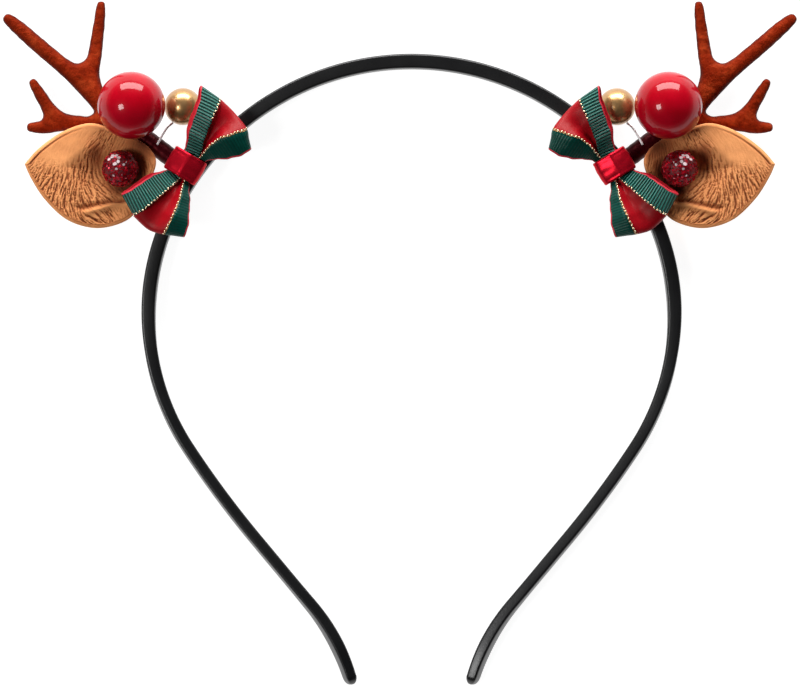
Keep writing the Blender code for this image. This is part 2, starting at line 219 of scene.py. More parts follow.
def feed(tree, socket, value):
    """Link a socket to another one, or give it a plain value."""
    if isinstance(value, bpy.types.NodeSocket):
        tree.links.new(value, socket)
    elif socket.type == "RGBA":
        socket.default_value = (*value[:3], 1.0)
    else:
        socket.default_value = value


def set_inputs(tree, node, **inputs):
    """Feed the named inputs of a node. An underscore stands for a space."""
    for key, value in inputs.items():
        feed(tree, node.inputs[key.replace("_", " ")], value)


def add_node(tree, kind, **inputs):
    made = tree.nodes.new(kind)
    set_inputs(tree, made, **inputs)
    return made


def new_finish(name, colour, roughness, metallic=0.0, **settings):
    """A material with its node tree and its Principled shader."""
    made = bpy.data.materials.new(name)
    made.use_nodes = True
    tree = made.node_tree
    shader = tree.nodes["Principled BSDF"]
    set_inputs(tree, shader, Base_Color=colour, Roughness=roughness, Metallic=metallic)
    set_inputs(tree, shader, **settings)
    return made, tree, shader


def noise_on(tree, scale, detail=3.0, roughness=0.5):
    """The value of a noise on Object coordinates."""
    spot = tree.nodes.new("ShaderNodeTexCoord").outputs["Object"]
    sizes = {"Scale": scale, "Detail": detail, "Roughness": roughness}
    return add_node(tree, "ShaderNodeTexNoise", Vector=spot, **sizes).outputs["Fac"]


def kept_number(tree, name):
    """The value of an attribute of the mesh."""
    found = tree.nodes.new("ShaderNodeAttribute")
    found.attribute_name = name
    return found.outputs["Fac"]


def ramped(tree, source, stops):
    """The colour that a ramp with (place, colour) stops gives for a value."""
    ramp = tree.nodes.new("ShaderNodeValToRGB")
    steps = ramp.color_ramp.elements
    while len(steps) < len(stops):
        steps.new(0.5)
    for step, (place, colour) in zip(steps, stops):
        step.position = place
        step.color = (*colour, 1.0)
    tree.links.new(source, ramp.inputs["Fac"])
    return ramp.outputs["Color"]


def mottle(tree, shader, value, low, high, full=0.7):
    """Colour a surface from one tone at 0.3 to another at a fuller value."""
    set_inputs(tree, shader, Base_Color=ramped(tree, value, ((0.3, low), (full, high))))


def bump(tree, shader, height, strength, distance):
    made = add_node(tree, "ShaderNodeBump", Height=height, Strength=strength, Distance=distance)
    set_inputs(tree, shader, Normal=made.outputs["Normal"])


def remap(tree, source, low, high, start=0.0, end=1.0):
    """A number that runs from start to end, moved to the range from low to high."""
    ends = {"From_Min": start, "From_Max": end, "To_Min": low, "To_Max": high}
    return add_node(tree, "ShaderNodeMapRange", Value=source, **ends).outputs["Result"]


def math_node(tree, operation, first, second=None):
    """A sum on one or two values, each a socket or a plain number."""
    made = tree.nodes.new("ShaderNodeMath")
    made.operation = operation
    feed(tree, made.inputs[0], first)
    if second is not None:
        feed(tree, made.inputs[1], second)
    return made.outputs["Value"]


def mix_colour(tree, factor, first, second, blend="MIX"):
    """Mix two colours, each a socket or a plain colour."""
    made = tree.nodes.new("ShaderNodeMix")
    made.data_type = "RGBA"
    made.blend_type = blend
    for index, value in ((0, factor), (6, first), (7, second)):
        feed(tree, made.inputs[index], value)
    return made.outputs[2]


# %% [markdown]
# ## The view
#
# The photograph looks straight at the front of the headband, so the camera looks straight
# down. A long lens keeps the raised balls and bows where the photograph has them. The frame
# is 200 mm wide at the middle of the band.

# %% Camera
VIEW_CENTRE = (-2.875, -71.35)
VIEW_DISTANCE = 1003.0
VIEW_LENS = 180.0

camera = bpy.data.objects.new("camera", bpy.data.cameras.new("camera"))
bpy.context.scene.collection.objects.link(camera)
camera.location = (VIEW_CENTRE[0] * MM, VIEW_CENTRE[1] * MM, VIEW_DISTANCE * MM)
camera.data.lens = VIEW_LENS
camera.data.sensor_width = 36.0
bpy.context.scene.camera = camera

# %% [markdown]
# The light is a studio's: one wide, low softbox beyond the crown, whose reflection is the long
# highlight at the top of each ball, and a small square one at the front left, which makes the
# little window below it. The sky is dim overhead and paler towards the horizon, so that the
# colours seen from above stay deep. The floor is a white light table: it glows a little, which
# keeps it pale and its shadows soft. The sizes of the floor and the lights are in metres.

# %% Floor and light
FLOOR_SIZE = 8.0
FLOOR_DROP = 0.00005
SOFTBOXES = (
    # name, place, width, height, watts
    ("softbox_beyond", (0.0, 1.05, 0.44), 1.40, 0.52, 30.0),
    ("softbox_window", (-0.75, -0.20, 1.10), 0.36, 0.36, 7.5),
)
SKY_COLOUR = (0.95, 0.97, 1.0)
SKY_OVERHEAD = 0.03
SKY_HORIZON = 0.40
SKY_FADE = 0.30
FLOOR_GREY = 0.25
FLOOR_GLOW = 0.94
LIGHT_TARGET = Vector((0.0, -0.05, 0.0))


def make_floor():
    shape = bmesh.new()
    bmesh.ops.create_grid(shape, x_segments=1, y_segments=1, size=FLOOR_SIZE / 2)
    bmesh.ops.translate(shape, verts=shape.verts, vec=(0, 0, -FLOOR_DROP))
    mesh = bpy.data.meshes.new("floor")
    shape.to_mesh(mesh)
    shape.free()
    floor = new_object("floor", mesh)
    glow = {"Emission_Color": WHITE, "Emission_Strength": FLOOR_GLOW}
    mesh.materials.append(new_finish("floor_white", (FLOOR_GREY,) * 3, 0.9, **glow)[0])


def make_lights():
    for name, place, width, height, watts in SOFTBOXES:
        data = bpy.data.lights.new(name, "AREA")
        data.shape = "RECTANGLE"
        data.size = width
        data.size_y = height
        data.energy = watts
        light = bpy.data.objects.new(name, data)
        light.location = place
        light.rotation_euler = (LIGHT_TARGET - Vector(place)).to_track_quat("-Z", "Y").to_euler()
        bpy.context.scene.collection.objects.link(light)


def make_sky():
    world = bpy.data.worlds.new("studio")
    bpy.context.scene.world = world
    world.use_nodes = True
    tree = world.node_tree
    way = tree.nodes.new("ShaderNodeTexCoord").outputs["Generated"]
    parts = add_node(tree, "ShaderNodeSeparateXYZ", Vector=way)
    fade = remap(tree, parts.outputs["Z"], SKY_HORIZON, SKY_OVERHEAD, 0.0, SKY_FADE)
    set_inputs(tree, tree.nodes["Background"], Color=SKY_COLOUR, Strength=fade)


make_floor()
make_lights()
make_sky()
bpy.context.scene.view_settings.view_transform = "Standard"

# %% [markdown]
# ## The band
#
# The band is one strip of black plastic, bent from a few arcs: wide round the head, then
# drawn in to two tips that turn out again. Its section is a rounded bar. Along the arms the
# strip leans a little, so its outer face shows as a thin strip beside the front edge. A list
# of arcs gives the line, and a short table gives the section, so the band is a sweep.

# %% Band line
BAND_ARCS = (
    # radius, turn, length; radius 0 is a straight stretch
    (66.4, 63.0, 0.0),
    (60.2, 60.3, 0.0),
    (250.0, 6.5, 0.0),
    (0.0, 0.0, 21.4),
    (52.1, -25.0, 0.0),
)
BAND_SECTIONS = (
    # share, thick, deep, lean
    (0.00, 3.60, 6.0, 0.0),
    (0.45, 3.50, 6.0, 0.0),
    (0.62, 2.90, 5.6, 8.0),
    (0.86, 2.80, 5.2, 10.0),
    (0.95, 2.90, 4.8, 16.0),
    (1.00, 2.60, 4.2, 18.0),
)
BAND_STEP = 1.2
BAND_EDGE_RADIUS = 0.6
BAND_EDGE_STEPS = 6
BAND_CORNER = 60
BAND_TIP_LENGTH = 2.2
BAND_TIP_RINGS = (2.0, 1.7, 1.4, 1.1, 0.8, 0.5, 0.3, 0.15, 0.05)


def band_half():
    """(place, heading, distance) along one half of the band, from the crown."""
    place = Vector((0.0, 0.0))
    heading = 0.0
    travelled = 0.0
    stations = [(place.copy(), heading, travelled)]
    for radius, turn, length in BAND_ARCS:
        length = radius * math.radians(abs(turn)) if radius else length
        count = round(length / BAND_STEP)
        bend = math.radians(turn) / count
        chord = 2 * radius * math.sin(abs(bend) / 2) if bend else length / count
        for _ in range(count):
            heading += bend / 2
            place = place + Vector((math.cos(heading), -math.sin(heading))) * chord
            heading += bend / 2
            travelled += length / count
            stations.append((place.copy(), heading, travelled))
    return stations


def band_ring(place, heading, share, side, left_to_end):
    thick, deep, lean = read_row(BAND_SECTIONS, share)
    closing = math.sqrt(max(0.0, 1.0 - max(0.0, 1.0 - left_to_end / BAND_TIP_LENGTH) ** 2))
    half_thick = max(thick / 2 * closing, 0.1)
    half_deep = deep / 2 * (0.35 + 0.65 * closing)
    radius = min(BAND_EDGE_RADIUS, half_thick * 0.6)
    away = Vector((math.sin(heading), math.cos(heading)))
    turn = math.radians(lean)
    lowest = half_deep * math.cos(turn) + (half_thick - radius) * math.sin(turn)
    ring = []
    for out_sign, up_sign in ((1, 1), (-1, 1), (-1, -1), (1, -1)):
        start = math.atan2(up_sign, out_sign) - math.pi / 4
        for k in range(BAND_EDGE_STEPS):
            angle = start + k / (BAND_EDGE_STEPS - 1) * math.pi / 2
            out = out_sign * (half_thick - radius) + radius * math.cos(angle)
            up = up_sign * (half_deep - radius) + radius * math.sin(angle)
            spot = place + away * (out * math.cos(turn) - up * math.sin(turn))
            height = out * math.sin(turn) + up * math.cos(turn) + lowest
            ring.append(Vector((side * spot.x, spot.y, height)) * MM)
    return ring


def make_band(material):
    stations = band_half()
    length = stations[-1][2]
    tip_place, tip_heading, _ = stations.pop()
    ahead = Vector((math.cos(tip_heading), -math.sin(tip_heading)))
    stations = [row for row in stations if length - row[2] > BAND_TIP_RINGS[0] + 0.1]
    for left in (*BAND_TIP_RINGS, 0.0):
        stations.append((tip_place - ahead * left, tip_heading, length - left))
    rings = {}
    for side in (-1, 1):
        rings[side] = [
            band_ring(place, heading, distance / length, side, length - distance)
            for place, heading, distance in stations
        ]
    mesh = smooth_tube("band", rings[-1][:0:-1] + rings[1], BAND_CORNER)
    print(f"band: half length {length:.0f} mm, {len(mesh.polygons)} faces")
    return finish_piece("headband", mesh, [material], ["band"])


# %% [markdown]
# The plastic is semi-matte: it has a fine grain from the mould, and its gloss varies a little
# where hands have rubbed it. Both are noise, one in the bump and one in the roughness.

# %% Band finish
def band_finish():
    made, tree, shader = new_finish("band_black", (0.004, 0.004, 0.0045), 0.36)
    grain = noise_on(tree, 2600.0, detail=4.0)
    bump(tree, shader, grain, 0.25, 0.00008)
    rubbed = noise_on(tree, 120.0, detail=2.0)
    set_inputs(tree, shader, Roughness=remap(tree, rubbed, 0.28, 0.44))
    return made


make_band(band_finish())

# %% [markdown]
# ## The antlers
#
# An antler is a branching shape, which is hard to loft. Blender's Skin modifier takes a tree
# of edges with a radius at each point and wraps it in one surface with soft forks, and a
# subdivision rounds it. Each row of the table is a point, the point it grows from, and its
# radius. Noise then roughens the surface, because the real one is hand-finished clay.

# %% Antler shape
ANTLER_RODS = (
    # name, from, x, y, z, radius
    ("root", None, -66.2, -17.25, 2.9, 1.9),
    ("trunk_low", "root", -72.4, -13.4, 3.2, 2.35),
    ("trunk_high", "trunk_low", -76.2, -8.7, 3.5, 2.7),
    ("fork", "trunk_high", -78.7, -4.8, 3.7, 3.2),
    ("long_1", "fork", -82.4, -2.6, 3.9, 2.3),
    ("long_2", "long_1", -86.0, 0.4, 4.2, 2.1),
    ("long_3", "long_2", -89.8, 3.6, 4.6, 2.1),
    ("long_4", "long_3", -93.6, 6.9, 5.1, 2.0),
    ("long_5", "long_4", -97.0, 9.9, 5.6, 1.7),
    ("long_tip", "long_5", -98.7, 11.4, 5.9, 1.2),
    ("upright_1", "fork", -76.4, 0.2, 3.6, 2.0),
    ("upright_2", "upright_1", -75.8, 4.4, 3.6, 1.75),
    ("upright_3", "upright_2", -75.2, 8.8, 3.9, 1.6),
    ("upright_4", "upright_3", -74.7, 12.8, 4.3, 1.35),
    ("upright_tip", "upright_4", -74.5, 15.0, 4.5, 0.9),
    ("branch_1", "trunk_low", -77.6, -15.1, 2.9, 1.5),
    ("branch_2", "branch_1", -81.4, -15.2, 2.9, 1.9),
    ("branch_fork", "branch_2", -85.6, -15.1, 3.0, 2.5),
    ("rising_1", "branch_fork", -88.0, -11.3, 3.4, 1.8),
    ("rising_2", "rising_1", -90.2, -7.7, 4.1, 1.5),
    ("rising_tip", "rising_2", -92.1, -4.5, 4.8, 1.0),
    ("low_1", "branch_fork", -89.0, -16.6, 2.9, 1.75),
    ("low_tip", "low_1", -93.4, -16.4, 3.2, 1.15),
)
ANTLER_FLATNESS = 0.9
ANTLER_LEVELS = 4
ANTLER_LUMP = (1.6, 0.10)
ANTLER_PIT = (0.55, 0.05)


def make_antlers(material):
    index = {row[0]: i for i, row in enumerate(ANTLER_RODS)}
    edges = [(index[row[1]], index[row[0]]) for row in ANTLER_RODS if row[1]]
    mesh = bpy.data.meshes.new("antler")
    mesh.from_pydata([row[2:5] for row in ANTLER_RODS], edges, ())
    rods = new_object("antler_rods", mesh)
    skin = rods.modifiers.new("skin", "SKIN")
    skin.use_smooth_shade = True
    for row, vertex in zip(ANTLER_RODS, mesh.skin_vertices[0].data):
        vertex.radius = (row[5], row[5] * ANTLER_FLATNESS)
        vertex.use_root = row[1] is None
    rounding = rods.modifiers.new("rounding", "SUBSURF")
    rounding.levels = ANTLER_LEVELS
    rounding.render_levels = ANTLER_LEVELS
    surface = baked("antler", rods)
    outward = [vertex.normal.copy() for vertex in surface.vertices]
    for vertex, away in zip(surface.vertices, outward):
        lump = noise.noise(vertex.co / ANTLER_LUMP[0]) * ANTLER_LUMP[1]
        pit = -abs(noise.noise(vertex.co / ANTLER_PIT[0])) * ANTLER_PIT[1]
        vertex.co += away * (lump + pit)
    surface.shade_smooth()
    print("antler:", len(surface.polygons), "faces")
    both_sides("antler_dressed", surface, [material], "antler")


# %% [markdown]
# The clay is a deep red-brown that goes orange where it is raised and rubbed. A ramp on a
# noise gives the patches. A second ramp on the height of the surface's normal darkens the
# sides: painted shade, since light from above leaves them darker. A finer noise gives the
# matte, gritty skin.

# %% Antler finish
def antler_finish():
    shine = {"Specular_Tint": (1.0, 0.35, 0.15), "Specular_IOR_Level": 0.08}
    made, tree, shader = new_finish("antler_clay", (0.25, 0.022, 0.006), 0.55, **shine)
    patches = noise_on(tree, 260.0)
    stops = (
        (0.28, (0.190, 0.0115, 0.0022)),
        (0.50, (0.255, 0.0195, 0.0038)),
        (0.74, (0.370, 0.0420, 0.0095)),
    )
    stain = ramped(tree, patches, stops)
    # Painted shade: the sides, where the normal leans away from straight up, are darkened.
    normal = tree.nodes.new("ShaderNodeTexCoord").outputs["Normal"]
    upright = add_node(tree, "ShaderNodeSeparateXYZ", Vector=normal)
    sides = ramped(tree, upright.outputs["Z"], ((0.20, (0.24, 0.13, 0.10)), (0.92, WHITE)))
    grit = noise_on(tree, 900.0, detail=4.0, roughness=0.6)
    pits = ramped(tree, grit, ((0.34, (0.76, 0.70, 0.68)), (0.50, WHITE)))
    colour = mix_colour(tree, 1.0, stain, sides, "MULTIPLY")
    colour = mix_colour(tree, 1.0, colour, pits, "MULTIPLY")
    set_inputs(tree, shader, Base_Color=colour)
    bump(tree, shader, grit, 0.9, 0.00040)
    return made


make_antlers(antler_finish())

# %% [markdown]
# ## The balls
#
# The big ball is lacquered: a smooth sphere under a clear coat that mirrors the softboxes.
# The pearl has a soft metallic lustre. Both are turned from a finely divided cube, so that no
# pole shows in the reflections. The small ball is rolled in glitter: a dark sphere, and on it
# over a thousand tiny six-sided flakes that each lean their own way and catch the light.

# %% Ball shapes
RED_BALL = ((-66.5, -11.5, 12.35), 8.4)
PEARL = ((-54.1, -11.4, 5.4), 4.65)
GLITTER_BALL = ((-69.5, -27.0, 8.9), 4.6)
GLITTER_CORE_SHARE = 0.965
FLAKE_RADIUS = 0.36
FLAKES_PER_MM2 = 5.0
FLAKE_LEAN = 30.0
FLAKE_SIDES = 6
FLAKE_SIZES = (0.6, 1.15)
FLAKE_SEEDS = {"places": 7, "sizes": 3, "leans": 11}


def ball_mesh(ball, levels=5, share=1.0):
    """A cube divided until it is a sphere, with even faces all over."""
    centre, radius = ball
    shape = bmesh.new()
    bmesh.ops.create_cube(shape, size=2)
    bmesh.ops.subdivide_edges(shape, edges=shape.edges, cuts=2**levels - 1, use_grid_fill=True)
    for vertex in shape.verts:
        vertex.co = vertex.co.normalized() * radius * share + Vector(centre)
    mesh = bpy.data.meshes.new("ball")
    shape.to_mesh(mesh)
    shape.free()
    mesh.shade_smooth()
    return mesh


# %% [markdown]
# Geometry Nodes scatter the flakes. The tree takes the sphere, places points on its faces,
# puts one flake on each point square to the surface, leans it by a random angle and makes the
# result real. A fixed seed gives the same flakes on each run.

# %% A tree for scattering
def scatter_tree(name, sizes):
    """A tree with a geometry socket and named number inputs. Gives tree, start and end."""
    tree = bpy.data.node_groups.new(name, "GeometryNodeTree")
    face = tree.interface
    face.new_socket("Geometry", in_out="INPUT", socket_type="NodeSocketGeometry")
    for label, value in sizes.items():
        socket = face.new_socket(label, in_out="INPUT", socket_type="NodeSocketFloat")
        socket.default_value = value
    face.new_socket("Geometry", in_out="OUTPUT", socket_type="NodeSocketGeometry")
    start = tree.nodes.new("NodeGroupInput")
    end = tree.nodes.new("NodeGroupOutput")
    return tree, start, end


def run_tree(name, tree, mesh, sizes):
    """Run a tree on a mesh in millimetres, and give the plain mesh that it makes."""
    holder = new_object(f"{name}_holder", mesh)
    modifier = holder.modifiers.new("tree", "NODES")
    modifier.node_group = tree
    for item in tree.interface.items_tree:
        if item.item_type == "SOCKET" and item.name in sizes:
            modifier[item.identifier] = float(sizes[item.name])
    return baked(name, holder)


def random_turn(tree, lean, seed):
    """A random lean about two axes and any turn about the third, as a vector."""
    turn = tree.nodes.new("FunctionNodeRandomValue")
    turn.data_type = "FLOAT_VECTOR"
    turn.inputs["Min"].default_value = (-lean, -lean, 0.0)
    turn.inputs["Max"].default_value = (lean, lean, 2 * math.pi)
    turn.inputs["Seed"].default_value = seed
    return turn.outputs["Value"]


def random_size(tree, low, high, seed):
    """A random size between two."""
    size = tree.nodes.new("FunctionNodeRandomValue")
    size.data_type = "FLOAT"
    size.inputs[2].default_value = low
    size.inputs[3].default_value = high
    size.inputs["Seed"].default_value = seed
    return size.outputs[1]


def end_tree(tree, copies, material, end):
    """Make a tree's copies real, give them their material and send them out."""
    real = add_node(tree, "GeometryNodeRealizeInstances", Geometry=copies).outputs["Geometry"]
    dress = add_node(tree, "GeometryNodeSetMaterial", Geometry=real, Material=material)
    set_inputs(tree, end, Geometry=dress.outputs["Geometry"])


def flakes_tree(material):
    tree, start, end = scatter_tree("flakes", {"Density": 1.0, "Radius": 1.0})
    given = start.outputs
    points = add_node(
        tree,
        "GeometryNodeDistributePointsOnFaces",
        Mesh=given["Geometry"],
        Density=given["Density"],
        Seed=FLAKE_SEEDS["places"],
    )
    flake = add_node(
        tree, "GeometryNodeMeshCircle", Vertices=FLAKE_SIDES, Radius=given["Radius"]
    )
    flake.fill_type = "NGON"
    copies = add_node(
        tree,
        "GeometryNodeInstanceOnPoints",
        Points=points.outputs["Points"],
        Instance=flake.outputs["Mesh"],
        Rotation=points.outputs["Rotation"],
        Scale=random_size(tree, *FLAKE_SIZES, FLAKE_SEEDS["sizes"]),
    ).outputs["Instances"]
    turn = random_turn(tree, math.radians(FLAKE_LEAN), FLAKE_SEEDS["leans"])
    leaning = add_node(tree, "GeometryNodeRotateInstances", Instances=copies, Rotation=turn)
    end_tree(tree, leaning.outputs["Instances"], material, end)
    return tree


# %% [markdown]
# The lacquer is a deep red under a clear coat. The pearl is a warm metal with a rough base and
# a soft coat. A flake is a thin mirror: most are dark red, and some are painted pale pink as a
# painted glint. A number on each flake says which, and the material reads it.

# %% Ball finishes
def lacquer_finish():
    coat = {"Coat_Weight": 1.0, "Coat_Roughness": 0.03, "Coat_IOR": 1.32}
    made, tree, shader = new_finish(
        "red_lacquer", (0.50, 0.0012, 0.012), 0.3, Specular_IOR_Level=0.05, **coat
    )
    cloud = noise_on(tree, 130.0, detail=2.0)
    mottle(tree, shader, cloud, (0.34, 0.0006, 0.006), (0.48, 0.0014, 0.014))
    ripple = noise_on(tree, 210.0, detail=1.0)
    bump(tree, shader, ripple, 0.08, 0.0003)
    return made


def pearl_finish():
    made, tree, shader = new_finish(
        "gold_pearl", (0.62, 0.37, 0.16), 0.32, 0.8, Coat_Weight=0.5, Coat_Roughness=0.10
    )
    lustre = noise_on(tree, 600.0, detail=3.0)
    mottle(tree, shader, lustre, (0.46, 0.25, 0.09), (0.56, 0.33, 0.14))
    bump(tree, shader, lustre, 0.12, 0.0001)
    return made


def glitter_core_finish():
    made, tree, shader = new_finish("glitter_base", (0.10, 0.001, 0.004), 0.45)
    grain = noise_on(tree, 3000.0)
    bump(tree, shader, grain, 0.6, 0.0002)
    return made


def glitter_flake_finish():
    made, tree, shader = new_finish(
        "glitter_flakes", (0.3, 0.003, 0.01), 0.24, Specular_IOR_Level=0.1
    )
    painted_glint = kept_number(tree, "glint_paint")
    # Painted glints: the highest values turn a flake pale pink and white, and less metallic.
    stops = (
        (0.0, (0.20, 0.0008, 0.005)),
        (0.80, (0.60, 0.003, 0.018)),
        (0.92, (0.85, 0.060, 0.100)),
        (0.96, (1.00, 0.82, 0.84)),
    )
    metal = remap(tree, painted_glint, 0.75, 0.20)
    set_inputs(tree, shader, Base_Color=ramped(tree, painted_glint, stops), Metallic=metal)
    return made


# %% [markdown]
# The number is random, and higher near one spot of the ball. So the pale flakes, painted
# glints, sit in a group there, where the sparkles of the real one catch the light. They are
# also a little larger, and lie over the others.

# %% Sparkles
SPARKLE_SPOT = Vector((-70.4, -25.6, 13.0))
SPARKLE_REACH = 2.1
SPARKLE_ANYWHERE = 0.93
SPARKLE_GATHERING = 0.42
SPARKLE_FROM = 0.94
SPARKLE_NEARNESS = 0.2
SPARKLE_GROWTH = 1.45
SPARKLE_LIFT = 0.16
SPARKLE_SEED = 5


def number_flakes(mesh):
    """Give each flake a painted glint value, random and higher near the spot. The pale ones grow.
    """
    luck = random.Random(SPARKLE_SEED)
    ball_centre = Vector(GLITTER_BALL[0])
    values = []
    for flake in mesh.polygons:
        centre = flake.center.copy()
        near = math.exp(-(((centre - SPARKLE_SPOT).length / SPARKLE_REACH) ** 2))
        highest = SPARKLE_ANYWHERE + (1 - SPARKLE_ANYWHERE) * near
        value = luck.random() * highest + SPARKLE_GATHERING * near * luck.random()
        values.append(value)
        if value > SPARKLE_FROM and near > SPARKLE_NEARNESS:
            lift = (centre - ball_centre).normalized() * SPARKLE_LIFT
            for index in flake.vertices:
                corner = mesh.vertices[index]
                corner.co = centre + (corner.co - centre) * SPARKLE_GROWTH + lift
    kept = mesh.attributes.new("glint_paint", "FLOAT", "FACE")
    kept.data.foreach_set("value", values)


def make_balls():
    red = ball_mesh(RED_BALL)
    both_sides("lacquered_ball", red, [lacquer_finish()], "red_ball")
    pearl = ball_mesh(PEARL, 4)
    both_sides("gold_pearl", pearl, [pearl_finish()], "pearl")
    core = ball_mesh(GLITTER_BALL, 4, GLITTER_CORE_SHARE)
    both_sides("glitter_core", core, [glitter_core_finish()], "glitter_ball")
    sizes = {"Density": FLAKES_PER_MM2, "Radius": FLAKE_RADIUS}
    flakes = glitter_flake_finish()
    made = run_tree("glitter_flakes", flakes_tree(flakes), core.copy(), sizes)
    number_flakes(made)
    print("glitter flakes:", len(made.polygons))
    both_sides("glitter_flakes", made, [flakes])


make_balls()

# %% [markdown]
# ## The stem and the wire
#
# A satin ribbon is wound round the stem. Each turn lies over the one before, so its edge makes
# a small step that runs round in a screw line. The radius of the tube follows that line. The
# wire is a plain bright tube on a smooth curve from the pearl's underside.

# %% Stem and wire
STEM_PATH = (
    # x, y, z, radius
    (-66.1, -17.3, 2.9, 2.0),
    (-64.6, -18.5, 2.9, 2.4),
    (-61.5, -20.8, 2.9, 2.4),
)
STEM_ENDS = {"left": (-53.2, -27.05, 2.9, 2.4), "right": (-56.9, -24.25, 2.9, 2.4)}
STEM_SIDES = 48
STEM_STEP = 0.22
STEM_CORNER = 50
WRAP_PITCH = 2.1
WRAP_STEP = 0.09
WRAP_EDGE = 0.88
WRAP_CREASE = 0.05
WIRE_PATH = (
    # x, y, z
    (-56.7, -15.4, 4.0),
    (-58.0, -16.5, 4.4),
    (-59.2, -18.4, 5.1),
    (-60.5, -20.9, 5.85),
)
WIRE_RADIUS = 0.28
WIRE_SIDES = 14
WIRE_STEPS = 8


def around(path, radius_at, sides):
    """Rings square to a path. radius_at gives a radius for (ring, distance, angle)."""
    rings = []
    distance = 0.0
    for i, here in enumerate(path):
        before = path[max(i - 1, 0)]
        after = path[min(i + 1, len(path) - 1)]
        distance += (here - before).length
        along = (after - before).normalized()
        across = along.cross(Vector((0, 0, 1))).normalized()
        lift = across.cross(along)
        ring = []
        for k in range(sides):
            angle = 2 * math.pi * k / sides
            out = across * math.cos(angle) + lift * math.sin(angle)
            ring.append(here + out * radius_at(i, distance, angle))
        rings.append(ring)
    return rings


def stem_mesh(side):
    rows = [Vector(row) for row in (*STEM_PATH, STEM_ENDS[side])]
    length = sum((b.xyz - a.xyz).length for a, b in zip(rows, rows[1:]))
    steps = max(4, round(length / STEM_STEP / (len(rows) - 1)))
    fine = through(rows, False, steps)
    path = [p.xyz for p in fine]
    radii = [p.w for p in fine]

    def radius_at(ring, distance, angle):
        turn = (distance / WRAP_PITCH + angle / (2 * math.pi)) % 1.0
        fold = turn if turn < WRAP_EDGE else (1.0 - turn) / (1.0 - WRAP_EDGE) * WRAP_EDGE
        round_stem = Vector((distance, math.cos(angle) * 3, math.sin(angle) * 3))
        crease = WRAP_CREASE * noise.noise(round_stem)
        return radii[ring] - WRAP_STEP * (1.0 - fold) + crease

    return smooth_tube("stem", around(path, radius_at, STEM_SIDES), STEM_CORNER)


def make_stems_and_wires(satin, silver):
    for side in SIDES:
        mesh = stem_mesh(side)
        to_side(mesh, side)
        finish_piece(f"wrapped_stem_{side}", mesh, [satin], [f"stem_{side}"])
    path = through([Vector(row) for row in WIRE_PATH], False, WIRE_STEPS)
    mesh = smooth_tube("wire", around(path, lambda *_: WIRE_RADIUS, WIRE_SIDES), STEM_CORNER)
    both_sides("pearl_wire", mesh, [silver], "wire")


# %% [markdown]
# Satin shines softly. In a white room a white shine would turn the dark red grey, so the shine
# has a red tint, as if it came from deep in the threads. The wire is a pale metal.

# %% Satin and wire finishes
RED_SHINE = (1.0, 0.14, 0.16)


def satin_finish(name, colour, roughness, thread_scale, shine=0.3, metallic=0.0):
    """Satin: a soft broad shine, and threads too fine to see but for a slight unevenness."""
    settings = {"Specular_Tint": RED_SHINE, "Specular_IOR_Level": shine}
    made, tree, shader = new_finish(name, colour, roughness, metallic, **settings)
    threads = noise_on(tree, thread_scale, detail=2.0)
    bump(tree, shader, threads, 0.15, 0.00004)
    mottle(tree, shader, threads, tuple(channel * 0.85 for channel in colour), colour)
    return made


def wire_finish():
    made, tree, shader = new_finish("wire_silver", WHITE, 0.30, 0.35)
    drawn = noise_on(tree, 1500.0, detail=2.0)
    set_inputs(tree, shader, Roughness=remap(tree, drawn, 0.22, 0.36))
    return made


maroon_satin = satin_finish("maroon_satin", (0.030, 0.0008, 0.003), 0.40, 2400.0)
make_stems_and_wires(maroon_satin, wire_finish())

# %% [markdown]
# ## The ears
#
# An ear is a leaf of short-pile plush, cupped like a spoon round the glitter ball, with a
# turned hem along its edge. The pile has been pressed, so it lies in long furrows that run
# down the cup like combed fur, and it is smooth only at the top left and along a lip at the
# bottom. The leaf is a grid of rings: each ring is the edge line drawn in towards the floor of
# the cup, and a profile gives its height.

# %% Ear form
EAR_RIM = (
    # name, x, y, z
    ("tip", -93.4, -25.8, 7.6),
    ("upper_1", -90.0, -22.0, 7.4),
    ("upper_2", -85.0, -18.3, 7.1),
    ("upper_3", -80.0, -16.1, 6.8),
    ("upper_4", -75.8, -15.7, 6.6),
    ("under_ball", -70.3, -17.6, 6.2),
    ("inner_1", -65.4, -19.6, 6.35),
    ("inner_2", -61.9, -22.4, 6.35),
    ("base", -60.8, -26.0, 6.3),
    ("lower_1", -63.4, -32.4, 6.0),
    ("lower_2", -66.2, -38.2, 6.0),
    ("lower_3", -70.6, -40.9, 6.3),
    ("lower_4", -76.5, -41.7, 6.7),
    ("lower_5", -83.0, -39.6, 7.1),
    ("lower_6", -88.4, -34.6, 7.4),
    ("lower_7", -91.8, -29.4, 7.5),
)
EAR_FLOOR = Vector((-70.2, -27.6, 2.3))
EAR_WALL = 2.0
EAR_HEM_ROUND = 1.0
EAR_RIM_STEPS = 40
EAR_TOP_RINGS = 110
EAR_BACK_RINGS = 18


def ear_height(rim_z, share, reach):
    """Height of the middle of the wall: a bowl, and where the leaf is long, a shelf round it."""
    bowl = 0.55 * ease(0, 1, share) + 0.45 * share**1.3
    shelf = 0.75 * ease(0.12, 0.62, share) + 0.25 * share
    climb = bowl + (shelf - bowl) * ease(11.0, 17.0, reach)
    return EAR_FLOOR.z + (rim_z - EAR_FLOOR.z) * climb


